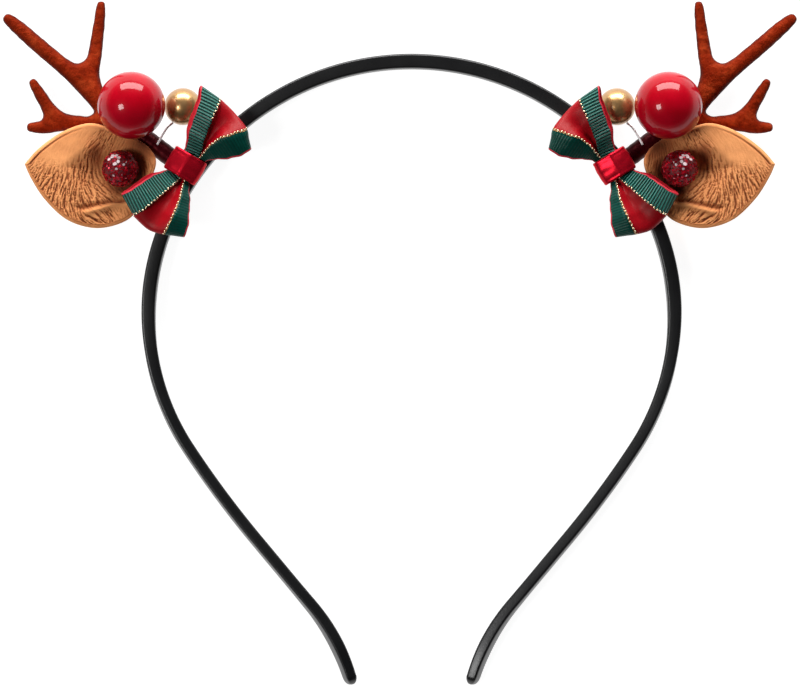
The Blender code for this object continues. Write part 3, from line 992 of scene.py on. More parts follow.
def ear_sheet(rim, count):
    """Points of one side as rings from the floor out, ending just inside the edge line."""
    rings = []
    for i in range(1, count + 1):
        share = 1.0 - (1.0 - i / (count + 1)) ** 1.15
        ring = []
        for edge in rim:
            x = EAR_FLOOR.x + (edge.x - EAR_FLOOR.x) * share
            y = EAR_FLOOR.y + (edge.y - EAR_FLOOR.y) * share
            reach = (edge.xy - EAR_FLOOR.xy).length
            left = reach * (1.0 - share)
            half = EAR_WALL / 2
            if left < EAR_HEM_ROUND:
                half *= math.sqrt(1.0 - (1.0 - left / EAR_HEM_ROUND) ** 2)
            ring.append((Vector((x, y, ear_height(edge.z, share, reach))), half))
        rings.append(ring)
    return rings


def ear_rim():
    """The edge line, smooth all round but for the corner at the tip."""
    return through([Vector(row[1:]) for row in EAR_RIM], True, EAR_RIM_STEPS, sharp=(0,))


def ear_mesh():
    """The ear, and how many of its points are on its front."""
    rim = ear_rim()
    count = len(rim)
    points = [EAR_FLOOR + Vector((0, 0, EAR_WALL / 2))]
    for ring in ear_sheet(rim, EAR_TOP_RINGS):
        points += [spot + Vector((0, 0, half)) for spot, half in ring]
    points += list(rim)
    for ring in reversed(ear_sheet(rim, EAR_BACK_RINGS)):
        points += [spot - Vector((0, 0, half)) for spot, half in ring]
    points.append(EAR_FLOOR - Vector((0, 0, EAR_WALL / 2)))
    faces = ring_faces(EAR_TOP_RINGS + 1 + EAR_BACK_RINGS, count, first=1)
    last = len(points) - 1
    start = last - count
    for j in range(count):
        faces.append((0, 1 + (j + 1) % count, 1 + j))
        faces.append((last, start + j, start + (j + 1) % count))
    mesh = mesh_from("ear", points, faces)
    outwards(mesh)
    mesh.shade_smooth()
    return mesh, 1 + EAR_TOP_RINGS * count


# %% [markdown]
# The furrows follow a flow. A few marks on the ear say which way the pile lies there, and the
# flow blends between them. A fine field of random numbers is then smeared along that flow,
# which leaves long soft streaks: the same trick draws wind maps. The streaks press the surface
# in, and how much shade to paint into them is kept as an attribute, so that the material can
# darken the furrows with painted shade.

# %% The lie of the pile
PILE_MARKS = (
    # x, y, degrees from straight down towards the band
    (-90.5, -25.6, -34.0),
    (-88.5, -28.5, -26.0),
    (-85.5, -33.0, -14.0),
    (-81.0, -32.0, -12.0),
    (-80.8, -37.5, 12.0),
    (-77.5, -32.0, 26.0),
    (-74.8, -31.0, 46.0),
    (-72.5, -33.5, 52.0),
    (-77.0, -39.3, 58.0),
    (-72.0, -38.8, 48.0),
    (-68.0, -37.5, 14.0),
    (-78.0, -27.5, -6.0),
    (-76.5, -20.0, -42.0),
    (-72.5, -21.0, -30.0),
)
PILE_FIELD = (-95.0, -60.0, -43.0, -14.0)
PILE_CELL = 0.08
PILE_GRAIN = 0.155
PILE_STREAK = 0.9
PILE_SEED = 12
PILE_EVENED_OVER = 0.5
PILE_CONTRAST = 0.9
MARK_SOFTNESS = 0.8
MARK_FALL = 1.6


def pile_flow(x, y):
    """Direction of the pile on a grid, from the marks, nearest strongest."""
    east = np.zeros_like(x)
    north = np.zeros_like(x)
    for mark_x, mark_y, lean in PILE_MARKS:
        apart = (x - mark_x) ** 2 + (y - mark_y) ** 2
        weight = 1.0 / (apart + MARK_SOFTNESS) ** MARK_FALL
        east += weight * math.sin(math.radians(lean))
        north -= weight * math.cos(math.radians(lean))
    size = np.hypot(east, north)
    return east / size, north / size


def blurred(field, width):
    """A smooth copy of a field, averaged over a width in millimetres."""
    reach = int(3 * width / PILE_CELL)
    offsets = np.arange(-reach, reach + 1)
    kernel = np.exp(-0.5 * (offsets * PILE_CELL / width) ** 2)
    kernel /= kernel.sum()
    rows = np.apply_along_axis(lambda row: np.convolve(row, kernel, "same"), 1, field)
    return np.apply_along_axis(lambda col: np.convolve(col, kernel, "same"), 0, rows)


def read_field(field, x, y):
    """The field's value at a place, blended between its cells."""
    west, _, south, _ = PILE_FIELD
    across = np.clip((x - west) / PILE_CELL, 0, field.shape[1] - 1.001)
    up = np.clip((y - south) / PILE_CELL, 0, field.shape[0] - 1.001)
    i = across.astype(int)
    j = up.astype(int)
    s = across - i
    t = up - j
    low = field[j, i] * (1 - s) + field[j, i + 1] * s
    high = field[j + 1, i] * (1 - s) + field[j + 1, i + 1] * s
    return low * (1 - t) + high * t


def pile_streaks():
    """Random numbers smeared along the flow: about -1 to 1."""
    west, east_end, south, north_end = PILE_FIELD
    columns = np.arange(west, east_end, PILE_CELL)
    rows = np.arange(south, north_end, PILE_CELL)
    x, y = np.meshgrid(columns, rows)
    grain = np.random.default_rng(PILE_SEED).standard_normal(x.shape)
    grain = blurred(grain, PILE_GRAIN / 2)
    total = grain.copy()
    for way in (1.0, -1.0):
        here_x, here_y = x.copy(), y.copy()
        for _ in range(round(PILE_STREAK / PILE_CELL)):
            east, north = pile_flow(here_x, here_y)
            here_x += way * east * PILE_CELL
            here_y += way * north * PILE_CELL
            total += read_field(grain, here_x, here_y)
    total -= blurred(total, PILE_EVENED_OVER)
    total /= np.sqrt((total**2).mean())
    return np.tanh(total * PILE_CONTRAST)


# %% [markdown]
# Not all of the ear is furrowed. Soft-edged zones say where the furrows are strong, the hem
# gets a groove along its inner side, and a crease runs above the smooth lip at the bottom.

# %% Zones of the pile
SMOOTH_LINE = (
    # x, y: above this line the pile is smooth
    (-94.0, -25.6),
    (-87.0, -26.2),
    (-82.0, -26.6),
    (-79.0, -24.0),
    (-77.5, -20.5),
    (-75.0, -18.0),
    (-70.0, -16.0),
)
SMOOTH_MIDDLE = 0.45
SMOOTH_FADE = 5.0
SMOOTH_LEAST = 0.10
SHELTERED_FROM = -71.5
SHELTERED_SHARE = 0.45
CUP_SPOT = (-73.2, -25.0, 3.0, 4.5, 0.75)  # x, y, reach across, reach up, strength
LIP_LINE = (
    # x, y along the crease above the lip
    (-81.5, -36.5),
    (-78.5, -36.7),
    (-75.5, -35.9),
    (-72.0, -35.0),
    (-69.0, -34.8),
    (-65.5, -34.4),
)
LIP_BELOW = 1.2
LIP_WIDTH = 0.85
LIP_SMOOTHING = 0.9
LIP_STARTS = (-80.0, 3.0)
CREASE_WIDTH = 0.60
CREASE_STARTS = (-81.5, 2.5)
HEM_WIDTH = 0.6
HEM_FADE = 0.5
HEM_GROOVE_WIDTH = 0.22
UPPER_GROOVE_AT = 1.15
UPPER_GROOVE_FADE = (1.2, 5.5)
LOWER_GROOVE_AT = 0.7
LOWER_GROOVE_SHARE = 0.45
AT_ONCE = 4000


def line_height(line, x):
    """The y of a line of (x, y) points at each x."""
    return np.interp(x, [row[0] for row in line], [row[1] for row in line])


def soft_spot(x, y, spot):
    """A soft spot. Its row is x, y, reach across, reach up and strength in the middle."""
    middle_x, middle_y, reach_x, reach_y, strength = spot
    return strength * np.exp(-(((x - middle_x) / reach_x) ** 2) - ((y - middle_y) / reach_y) ** 2)


def starting(x, start):
    """0 before a place, and 1 after a climb. The place and the climb's length are given."""
    return np.clip((x - start[0]) / start[1], 0, 1)


def edge_distance(x, y):
    """How far each point is inside the edge line, and how far round the ear it is, 0 to 1."""
    edge = np.array([(p.x, p.y) for p in ear_rim()])
    inside = np.empty(len(x))
    nearest = np.empty(len(x), dtype=int)
    for start in range(0, len(x), AT_ONCE):
        part = slice(start, start + AT_ONCE)
        apart = np.hypot(x[part, None] - edge[None, :, 0], y[part, None] - edge[None, :, 1])
        nearest[part] = apart.argmin(axis=1)
        inside[part] = apart.min(axis=1)
    return inside, nearest / len(edge)


def pile_zones(x, y):
    """How far each point is furrowed, on the lip, in the hem's groove and in the crease."""
    inside, turn = edge_distance(x, y)
    below = line_height(SMOOTH_LINE, x) - y
    lip = y - line_height(LIP_LINE, x)
    on_lip = np.exp(-(((lip + LIP_BELOW) / LIP_WIDTH) ** 2)) * starting(x, LIP_STARTS)
    furrowed = np.clip(SMOOTH_MIDDLE + below / SMOOTH_FADE, SMOOTH_LEAST, 1.0)
    furrowed *= np.where(x > SHELTERED_FROM, SHELTERED_SHARE, 1.0)
    furrowed *= 1.0 - LIP_SMOOTHING * on_lip
    furrowed *= 1.0 - soft_spot(x, y, CUP_SPOT)
    furrowed *= np.clip((inside - HEM_WIDTH) / HEM_FADE, 0, 1)

    upper = turn < 0.5
    from_tip = np.minimum(turn, 1 - turn)
    groove_at = np.where(upper, UPPER_GROOVE_AT, LOWER_GROOVE_AT)
    fading = np.clip(UPPER_GROOVE_FADE[0] - from_tip * UPPER_GROOVE_FADE[1], 0, 1)
    groove = np.exp(-(((inside - groove_at) / HEM_GROOVE_WIDTH) ** 2))
    groove *= np.where(upper, fading, LOWER_GROOVE_SHARE)
    crease = np.exp(-((lip / CREASE_WIDTH) ** 2)) * starting(x, CREASE_STARTS)
    return furrowed, on_lip, groove, crease


# %% [markdown]
# The zones and the streaks together press the surface in. The same numbers say how much shade
# is painted on each point, in the furrows, the hem's groove and the crease, and so do a few soft
# spots where the balls keep the light off the cup. NumPy works on all the points at once,
# which is far quicker than a loop in Python.

# %% Pressing the pile in
FURROW_DEPTH = 0.34
FURROW_FROM = -0.05
LIP_DROP = 0.60
LIP_RISE = 0.5
HEM_GROOVE = 0.26
# Painted shade: soft spots on the cup where the balls keep the light off.
SHADE_SPOTS = (
    # x, y, reach across, reach up, strength
    (-75.8, -23.4, 1.7, 3.2, 0.62),
    (-63.8, -20.9, 4.6, 3.6, 0.85),
)
CONTACT_REACH = 1.7
CONTACT_SHADE = 0.45
CONTACT_TILT = 0.10
CONTACT_LIMITS = (0.25, 0.95)
FURROW_SHAPE = 0.8
DEPTH_SHARES = (0.30, 0.70)
SHADE_SHARES = (0.22, 0.66)
GROOVE_SHADE = 0.85
CREASE_SHADE = 0.45


def contact_shade(x, y):
    """Painted shade close round the glitter ball, strongest to its lower right."""
    (ball_x, ball_y, _), radius = GLITTER_BALL
    right, up = x - ball_x, y - ball_y
    apart = np.clip(np.hypot(right, up) - radius, 0, None)
    strength = np.clip(CONTACT_SHADE + CONTACT_TILT * (right - up), *CONTACT_LIMITS)
    return np.exp(-((apart / CONTACT_REACH) ** 2)) * strength


def vertex_rows(mesh, name):
    """The places or normals of a mesh's points, one row for each point."""
    found = np.empty(len(mesh.vertices) * 3, dtype=np.float32)
    mesh.vertices.foreach_get(name, found)
    return found.reshape(-1, 3)


def press_pile(mesh, top_count):
    """Press the furrows, groove and crease into the front, and keep how much shade is painted on
    each point.
    """
    spots = vertex_rows(mesh, "co").astype(float)
    away = vertex_rows(mesh, "normal")
    x, y = spots[:, 0], spots[:, 1]
    furrowed, on_lip, groove, crease = pile_zones(x, y)
    streaks = read_field(pile_streaks(), x, y)
    low = 0.5 - 0.5 * streaks
    furrows = np.clip((-streaks - FURROW_FROM) / (1.0 - FURROW_FROM), 0, 1) ** FURROW_SHAPE

    # Painted shade: darker in the streaks and furrows, the hem's groove, the crease above the
    # lip, round the glitter ball and in the spots under the balls.
    shade = (SHADE_SHARES[0] * low + SHADE_SHARES[1] * furrows) * furrowed
    darks = [groove * GROOVE_SHADE, crease * CREASE_SHADE, contact_shade(x, y)]
    darks += [soft_spot(x, y, spot) for spot in SHADE_SPOTS]
    for dark in darks:
        shade = np.maximum(shade, dark)
    pressed = (DEPTH_SHARES[0] * low + DEPTH_SHARES[1] * furrows) * furrowed
    depth = on_lip * LIP_RISE - pressed * FURROW_DEPTH
    depth -= groove * HEM_GROOVE + crease * LIP_DROP
    for values in (shade, depth):
        values[top_count:] = 0.0

    spots += away * depth[:, None]
    mesh.vertices.foreach_set("co", spots.astype(np.float32).ravel())
    kept = mesh.attributes.new("pile_shade", "FLOAT", "POINT")
    kept.data.foreach_set("value", shade.astype(np.float32))
    mesh.update()
    print(f"ear: {len(mesh.polygons)} faces, furrows to {-depth.min():.2f} mm deep")


# %% [markdown]
# The plush is tan where it is raised. Down in the furrows, in the hem's groove, in the crease
# and close round the balls it is painted a dark warm brown: painted shade, where light is lost
# between the fibres and kept off by the balls. Sheen lightens it towards its edges, as short
# pile does. A fine noise in the bump stands for single fibres.

# %% Ear finish
def plush_finish():
    sheen = {"Sheen_Weight": 0.12, "Sheen_Roughness": 0.45, "Sheen_Tint": (1.0, 0.75, 0.50)}
    made, tree, shader = new_finish(
        "ear_plush", (0.72, 0.27, 0.09), 0.85, Specular_IOR_Level=0.1, **sheen
    )
    # The attribute holds the painted shade; the ramp turns it from tan to a dark warm brown.
    depth = kept_number(tree, "pile_shade")
    stops = (
        (0.05, (0.93, 0.395, 0.150)),
        (0.40, (0.52, 0.170, 0.060)),
        (0.90, (0.15, 0.040, 0.016)),
    )
    pile = ramped(tree, depth, stops)
    cloud = noise_on(tree, 260.0)
    tone = ramped(tree, cloud, ((0.3, (0.80, 0.74, 0.70)), (0.7, WHITE)))
    colour = mix_colour(tree, 1.0, pile, tone, "MULTIPLY")
    set_inputs(tree, shader, Base_Color=colour)
    fibres = noise_on(tree, 4200.0, detail=3.0, roughness=0.7)
    bump(tree, shader, fibres, 0.5, 0.00012)
    return made


# %% [markdown]
# Both ears come from one mesh, the right one mirrored.


def make_ears(plush):
    mesh, top_count = ear_mesh()
    press_pile(mesh, top_count)
    ears = both_sides("plush_ear", mesh, [plush], "ear")


make_ears(plush_finish())

# %% [markdown]
# ## The bows
#
# A bow is one ring of ribbon, flattened and pinched in the middle, so that each loop has a
# front and a back layer. Tables give the ribbon's lines at a few places from the knot to the
# end of the loop: its two edges, and the ridge, valley and crest of its pleats. Each row of
# the surface is a smooth curve through those lines, and the rows run round the whole ring.

# %% Bow lines
BOW_CENTRE = Vector((-53.3, -26.3, 9.0))
KNOT_DIRECTION = 59.0
UPPER_LOOP_DIRECTION = 48.4
LOWER_LOOP_DIRECTION = 238.4
UPPER_LOOP = (
    # share, left, ridge, valley, crest, right
    (0.00, -2.6, 0.9, 1.0, 1.2, 2.6),
    (0.20, -2.9, 1.05, 1.15, 1.45, 2.9),
    (0.30, -3.6, 0.6, 0.9, 1.5, 3.3),
    (0.45, -5.2, -0.6, 0.4, 1.5, 4.9),
    (0.62, -6.3, -1.6, 0.3, 2.1, 7.3),
    (0.81, -7.5, -2.7, 0.6, 4.0, 9.2),
    (1.00, -9.5, -3.6, 0.8, 5.9, 10.1),
)
UPPER_REACH = (17.3, 18.0, 17.8, 16.9, 13.9)
LOWER_LOOP = (
    # share, left, ridge, valley, crest, right
    (0.00, -2.6, 0.5, 1.0, 1.5, 2.6),
    (0.20, -3.0, 0.6, 1.1, 1.8, 3.0),
    (0.30, -4.0, 0.2, 1.2, 2.4, 3.8),
    (0.45, -5.6, -0.5, 1.4, 3.4, 5.7),
    (0.62, -6.6, -1.3, 1.3, 4.0, 7.1),
    (0.81, -7.7, -2.3, 1.1, 4.5, 8.8),
    (1.00, -9.0, -3.7, 1.05, 4.9, 9.7),
)
LOWER_REACH = (14.2, 17.1, 18.2, 17.3, 15.2)
LOOP_FORM = (
    # share, half opening, fold, rise
    (0.00, 0.75, 0.35, 0.0),
    (0.20, 0.80, 0.45, 0.1),
    (0.45, 1.60, 0.95, 2.0),
    (0.72, 2.20, 1.25, 3.3),
    (1.00, 2.20, 0.55, 3.8),
)
SPREAD_START = 0.20
SPREAD_END = 0.50
LOOP_BLUNTNESS = 6
LOOP_STEPS = 56
CROSS_STEPS = 6
BACK_FOLD_SHARE = 0.2
BACK_SHIFT_LEFT = 1.1
RIBBON_WIDTH = 20.0
RIBBON_WALL = 0.34
RIDGE_TUCK = 0.55
RIBBON_LINES = (
    # share of the ribbon's width, height in the pleats
    (0.00, -0.3),
    (0.16, 0.45),
    (0.295, 1.0),
    (0.345, -0.1),
    (0.50, -1.0),
    (0.68, 0.9),
    (0.84, 0.2),
    (1.00, -1.0),
)


def unit(degrees):
    return Vector((math.cos(math.radians(degrees)), math.sin(math.radians(degrees))))


def loop_row(rows, reach, direction, share, back):
    """One row of ribbon points across a loop layer, left to right."""
    left, ridge, valley, crest, right = read_row(rows, share)
    half_open, fold, rise = read_row(LOOP_FORM, share)
    closing = math.sqrt(max(0.0, 1.0 - share**LOOP_BLUNTNESS))
    layer = -closing if back else closing
    spreading = min(1.0, max(0.0, (share - SPREAD_START) / (SPREAD_END - SPREAD_START)))
    axis = unit(direction)
    knot_side = unit(KNOT_DIRECTION - 90)
    loop_side = unit(direction - 90)
    if knot_side.dot(loop_side) < 0:
        loop_side = -loop_side
    side = knot_side.lerp(loop_side, spreading).normalized()
    tuck = ridge - RIDGE_TUCK * spreading
    lines = [left, (left + ridge) / 2, ridge, tuck, valley, crest, (crest + right) / 2, right]
    far = [reach[0], (reach[0] + reach[1]) / 2, reach[1], reach[1], *reach[2:4]]
    far += [(reach[3] + reach[4]) / 2, reach[4]]
    if back:
        even = [left + (right - left) * row[0] for row in RIBBON_LINES]
        lines = [a + (b - a) * closing for a, b in zip(lines, even)]
        fold *= BACK_FOLD_SHARE + (1 - BACK_FOLD_SHARE) * (1 - closing)
    shift = BACK_SHIFT_LEFT * spreading * (layer - 1) / 2
    row = []
    for x, distance, (_, height) in zip(lines, far, RIBBON_LINES):
        flat = axis * share * distance + side * (x + shift)
        row.append(Vector((flat.x, flat.y, rise + half_open * layer + height * fold)))
    return [BOW_CENTRE + p for p in row]


def bow_rows():
    """Coarse rows round the ring, and for each the loop's name where it is a front row."""
    shares = [1.0 - (1.0 - i / LOOP_STEPS) ** 1.35 for i in range(LOOP_STEPS)]
    rows = []
    fronts = []
    for name, table, reach, direction, back_first in (
        ("upper", UPPER_LOOP, UPPER_REACH, UPPER_LOOP_DIRECTION, False),
        ("lower", LOWER_LOOP, LOWER_REACH, LOWER_LOOP_DIRECTION, True),
    ):
        for share in (*shares, 1.0):
            rows.append(loop_row(table, reach, direction, share, back_first))
            fronts.append("" if back_first else name)
        for share in reversed(shares[1:]):
            rows.append(loop_row(table, reach, direction, share, not back_first))
            fronts.append(name if back_first else "")
    return rows, fronts


# %% [markdown]
# The surface keeps two numbers for each point in its UV map: how far across the ribbon it is,
# and how far along, both in millimetres. The stripes and the woven ribs are drawn from those,
# so they bend and fan with the cloth. The ribs of a fanned ribbon stand square to its edge, so
# the distance along is skewed a little across each front layer. A Solidify modifier gives the
# ribbon its wall and three materials: the woven front, the plain satin back and the selvage.

# %% Bow surface
RIB_SKEW = {"upper": -0.12, "lower": 0.10}
# Round the ring, the upper loop's skew fades out and then the lower loop's fades in.
SKEW_OUT = 3.4
SKEW_IN = 7.8
SKEW_RATE = 2.8
STITCHED_LINES = (
    # ribbon line, loop, and where the stitches that show start, as a share of its reach
    (2, "upper", 0.78),
    (2, "lower", 0.0),
    (5, "upper", 0.0),
    (5, "lower", 0.0),
)
BOW_SHARP_LINES = (2, 3)


def bow_surface():
    """Points, faces and ribbon coordinates of the whole ring, and its front seam lines."""
    coarse, fronts = bow_rows()
    across = spread([row[0] for row in RIBBON_LINES], CROSS_STEPS)
    rows = [through(row, False, CROSS_STEPS, BOW_SHARP_LINES) for row in coarse]
    width = len(rows[0])
    middle = width // 2
    along = [0.0]
    for before, after in zip(rows, rows[1:]):
        along.append(along[-1] + (after[middle] - before[middle]).length)
    total = along[-1] + (rows[0][middle] - rows[-1][middle]).length
    ribs = []
    for i, distance in enumerate(along):
        turn = 4 * i / len(rows)
        upper = min(1.0, max(0.0, SKEW_OUT - turn * SKEW_RATE))
        lower = min(1.0, max(0.0, turn * SKEW_RATE - SKEW_IN))
        ribs.append((distance, RIB_SKEW["upper"] * upper + RIB_SKEW["lower"] * lower))
    points = [p for row in rows for p in row]
    faces = []
    count = len(rows)
    for i in range(count):
        for j in range(width - 1):
            a = i * width + j
            b = (i + 1) % count * width + j
            faces.append((a, a + 1, b + 1, b))
    seams = []
    for line, name, start in STITCHED_LINES:
        seam = [rows[i][line * CROSS_STEPS] for i in range(count) if fronts[i] == name]
        reach = max((point - BOW_CENTRE).length for point in seam)
        seams.append([point for point in seam if (point - BOW_CENTRE).length > start * reach])
    return points, faces, across, ribs, total, seams


def bow_mesh():
    """The ribbon ring with its wall and its UV map, and the front seam lines."""
    points, faces, across, ribs, total, seams = bow_surface()
    mesh = mesh_from("bow", points, faces)
    width = len(across)
    count = len(ribs)
    layer = mesh.uv_layers.new(name="ribbon")
    for face in mesh.polygons:
        low_row = face.vertices[0] // width
        for corner in face.loop_indices:
            vertex = mesh.loops[corner].vertex_index
            row, column = divmod(vertex, width)
            distance, skew = ribs[row]
            if row == 0 and low_row == count - 1:
                distance = total
            u = across[column] * RIBBON_WIDTH
            layer.data[corner].uv = (u, distance + skew * u)
    mesh.shade_smooth()
    holder = new_object("bow_sheet", mesh)
    for _ in ("front", "reverse", "selvage"):
        mesh.materials.append(None)
    wall = holder.modifiers.new("wall", "SOLIDIFY")
    wall.thickness = RIBBON_WALL
    wall.offset = 0.0
    wall.material_offset = 1
    wall.material_offset_rim = 2
    print(f"bow: ribbon ring {total:.0f} mm round, {len(faces)} faces before its wall")
    return baked("bow", holder), seams


# %% [markdown]
# The ribbon is woven in lengthwise stripes: a thin coral selvage, dark green ribbed like
# grosgrain, a gold line, smooth red satin in the middle, and the same again. Each stripe is a
# mask that is 1 between two distances from the edge. A wave along the ribbon makes the ribs.
# Their tops are painted a little lighter than the gaps between them, as painted light and
# shade. On one side of the satin the tops are painted pale, a painted highlight where the light
# catches them, and on the other they are fainter. The satin has fine lengthwise threads, made
# by a noise that is drawn out along the ribbon.

# %% Ribbon finish
RIB_PITCH = 0.74
FAINT_RIBS = 0.22
THREADS_ACROSS = 9.0
THREADS_ALONG = 0.5
SELVAGE = 0.45
GREEN_END = 6.05
GOLD_END = 6.45


def ribbon_place(tree):
    """Millimetres across and along the ribbon, as two sockets."""
    spot = tree.nodes.new("ShaderNodeUVMap")
    spot.uv_map = "ribbon"
    parts = add_node(tree, "ShaderNodeSeparateXYZ", Vector=spot.outputs["UV"])
    return parts.outputs["X"], parts.outputs["Y"]


def lengthwise_threads(tree, across, along):
    """A noise drawn out along the ribbon."""
    x = math_node(tree, "MULTIPLY", across, THREADS_ACROSS)
    y = math_node(tree, "MULTIPLY", along, THREADS_ALONG)
    spot = add_node(tree, "ShaderNodeCombineXYZ", X=x, Y=y).outputs["Vector"]
    return add_node(tree, "ShaderNodeTexNoise", Vector=spot, Scale=1.0, Detail=2.0).outputs["Fac"]


def band_between(tree, value, low, high, soft=0.04):
    """1 where a number lies between two others, with soft ends."""
    climb = remap(tree, value, 0.0, 1.0, low - soft, low + soft)
    fall = remap(tree, value, 1.0, 0.0, high - soft, high + soft)
    return math_node(tree, "MULTIPLY", climb, fall)


def ribbon_finish():
    shine = {"Specular_Tint": (0.60, 0.60, 0.55), "Specular_IOR_Level": 0.30}
    made, tree, shader = new_finish("striped_ribbon", (0.0, 0.06, 0.04), 0.42, **shine)
    across, along = ribbon_place(tree)
    off_middle = math_node(tree, "SUBTRACT", across, RIBBON_WIDTH / 2)
    from_middle = math_node(tree, "ABSOLUTE", off_middle)
    inwards = math_node(tree, "SUBTRACT", RIBBON_WIDTH / 2, from_middle)
    green = band_between(tree, inwards, SELVAGE, GREEN_END)
    gold = band_between(tree, inwards, GREEN_END, GOLD_END)
    edge = band_between(tree, inwards, -1.0, SELVAGE)

    turns = math_node(tree, "MULTIPLY", along, math.pi / RIB_PITCH)
    rib = math_node(tree, "ABSOLUTE", math_node(tree, "SINE", turns))
    rounded = math_node(tree, "POWER", rib, 0.75)
    uneven = noise_on(tree, 900.0, detail=2.0)
    # Painted light and shade: rib tops lighter than the gaps, and pale painted highlights on the
    # rib tops on one side only.
    valley = mix_colour(tree, uneven, (0.0004, 0.028, 0.020), (0.0008, 0.040, 0.029))
    crown = mix_colour(tree, uneven, (0.0010, 0.046, 0.033), (0.0018, 0.064, 0.048))
    plain_side = band_between(tree, across, RIBBON_WIDTH * 0.5, RIBBON_WIDTH * 2.0, 0.5)
    rib_highlight = mix_colour(tree, math_node(tree, "POWER", rib, 5.0), valley, (0.040, 0.19, 0.155))
    faint = mix_colour(tree, rib, valley, crown)
    green_colour = mix_colour(tree, plain_side, rib_highlight, faint)

    threads = lengthwise_threads(tree, across, along)
    red_colour = mix_colour(tree, threads, (0.24, 0.0006, 0.004), (0.40, 0.002, 0.009))

    colour = mix_colour(tree, green, red_colour, green_colour)
    colour = mix_colour(tree, gold, colour, (0.34, 0.19, 0.07))
    colour = mix_colour(tree, edge, colour, (0.62, 0.028, 0.050))
    metal = math_node(tree, "MULTIPLY", gold, 0.7)
    rough = remap(tree, green, 0.42, 0.29)
    set_inputs(tree, shader, Base_Color=colour, Metallic=metal, Roughness=rough)
    rib_height = remap(tree, plain_side, 1.0, FAINT_RIBS)
    raised = math_node(tree, "MULTIPLY", math_node(tree, "MULTIPLY", rounded, green), rib_height)
    fine = math_node(tree, "MULTIPLY", threads, 0.12)
    bump(tree, shader, math_node(tree, "ADD", raised, fine), 1.0, 0.00030)
    return made


def reverse_finish():
    """The plain satin back of the ribbon."""
    shine = {"Specular_Tint": RED_SHINE, "Specular_IOR_Level": 0.2}
    made, tree, shader = new_finish("ribbon_reverse", (0.30, 0.003, 0.010), 0.38, **shine)
    across, along = ribbon_place(tree)
    threads = lengthwise_threads(tree, across, along)
    colour = mix_colour(tree, threads, (0.46, 0.008, 0.018), (0.62, 0.024, 0.038))
    set_inputs(tree, shader, Base_Color=colour)
    bump(tree, shader, threads, 0.3, 0.00005)
    return made


def selvage_finish():
    made, tree, shader = new_finish(
        "coral_selvage", (0.66, 0.035, 0.055), 0.5, Specular_IOR_Level=0.2
    )
    weave = noise_on(tree, 2600.0, detail=2.0)
    mottle(tree, shader, weave, (0.45, 0.012, 0.025), (0.72, 0.050, 0.075))
    return made


# %% [markdown]
# Each bow is held by its knot. Both come from one mesh, the right one mirrored.


def make_bows(finishes):
    mesh, seams = bow_mesh()
    bows = both_sides("ribbon_bow", mesh, finishes, "bow")
    return seams


bow_seams = make_bows([ribbon_finish(), reverse_finish(), selvage_finish()])

# %% [markdown]
# ## The gold stitches
#
# Along each gold line runs a zigzag of gold thread. Geometry Nodes make it: the seam becomes a
# curve, cut into equal steps, and each point gets one small grain of thread that follows the
# seam and leans left or right in turn, which the point's number decides.

# %% Stitches
STITCH_STEP = 0.95
STITCH_LENGTH = 0.76
STITCH_WIDTH = 0.42
STITCH_LEAN = 38.0
STITCH_LIFT = 0.26
GRAIN_SEGMENTS = 8
GRAIN_RINGS = 5
GRAIN_FACES = GRAIN_SEGMENTS * GRAIN_RINGS


def stitch_turn(tree, lean):
    """A lean to the left for each even point, and to the right for each odd one."""
    number = tree.nodes.new("GeometryNodeInputIndex").outputs["Index"]
    odd = math_node(tree, "MODULO", number, 2.0)
    left_or_right = math_node(tree, "SUBTRACT", math_node(tree, "MULTIPLY", odd, 2.0), 1.0)
    turn = math_node(tree, "MULTIPLY", left_or_right, lean)
    return add_node(tree, "ShaderNodeCombineXYZ", Z=turn).outputs["Vector"]


def stitch_tree(material):
    sizes = {"Step": 1.0, "Length": 1.0, "Width": 1.0, "Lean": 1.0}
    tree, start, end = scatter_tree("stitches", sizes)
    given = start.outputs
    curve = add_node(tree, "GeometryNodeMeshToCurve", Mesh=given["Geometry"])
    even = tree.nodes.new("GeometryNodeResampleCurve")
    even.mode = "LENGTH"
    set_inputs(tree, even, Curve=curve.outputs["Curve"], Length=given["Step"])
    grain = add_node(
        tree, "GeometryNodeMeshUVSphere", Segments=GRAIN_SEGMENTS, Rings=GRAIN_RINGS, Radius=0.5
    )
    tangent = tree.nodes.new("GeometryNodeInputTangent").outputs["Tangent"]
    facing = add_node(tree, "FunctionNodeAlignRotationToVector", Vector=tangent)
    facing.axis = "X"
    width = given["Width"]
    size = add_node(tree, "ShaderNodeCombineXYZ", X=given["Length"], Y=width, Z=width)
    copies = add_node(
        tree,
        "GeometryNodeInstanceOnPoints",
        Points=even.outputs["Curve"],
        Instance=grain.outputs["Mesh"],
        Rotation=facing.outputs["Rotation"],
        Scale=size.outputs["Vector"],
    ).outputs["Instances"]
    turn = stitch_turn(tree, given["Lean"])
    leaning = add_node(tree, "GeometryNodeRotateInstances", Instances=copies, Rotation=turn)
    end_tree(tree, leaning.outputs["Instances"], material, end)
    return tree


def thread_finish():
    made, tree, shader = new_finish("gold_thread", (0.86, 0.62, 0.34), 0.26, 0.8)
    twist = noise_on(tree, 3500.0, detail=2.0)
    mottle(tree, shader, twist, (0.62, 0.38, 0.18), (0.98, 0.84, 0.60), 0.65)
    return made


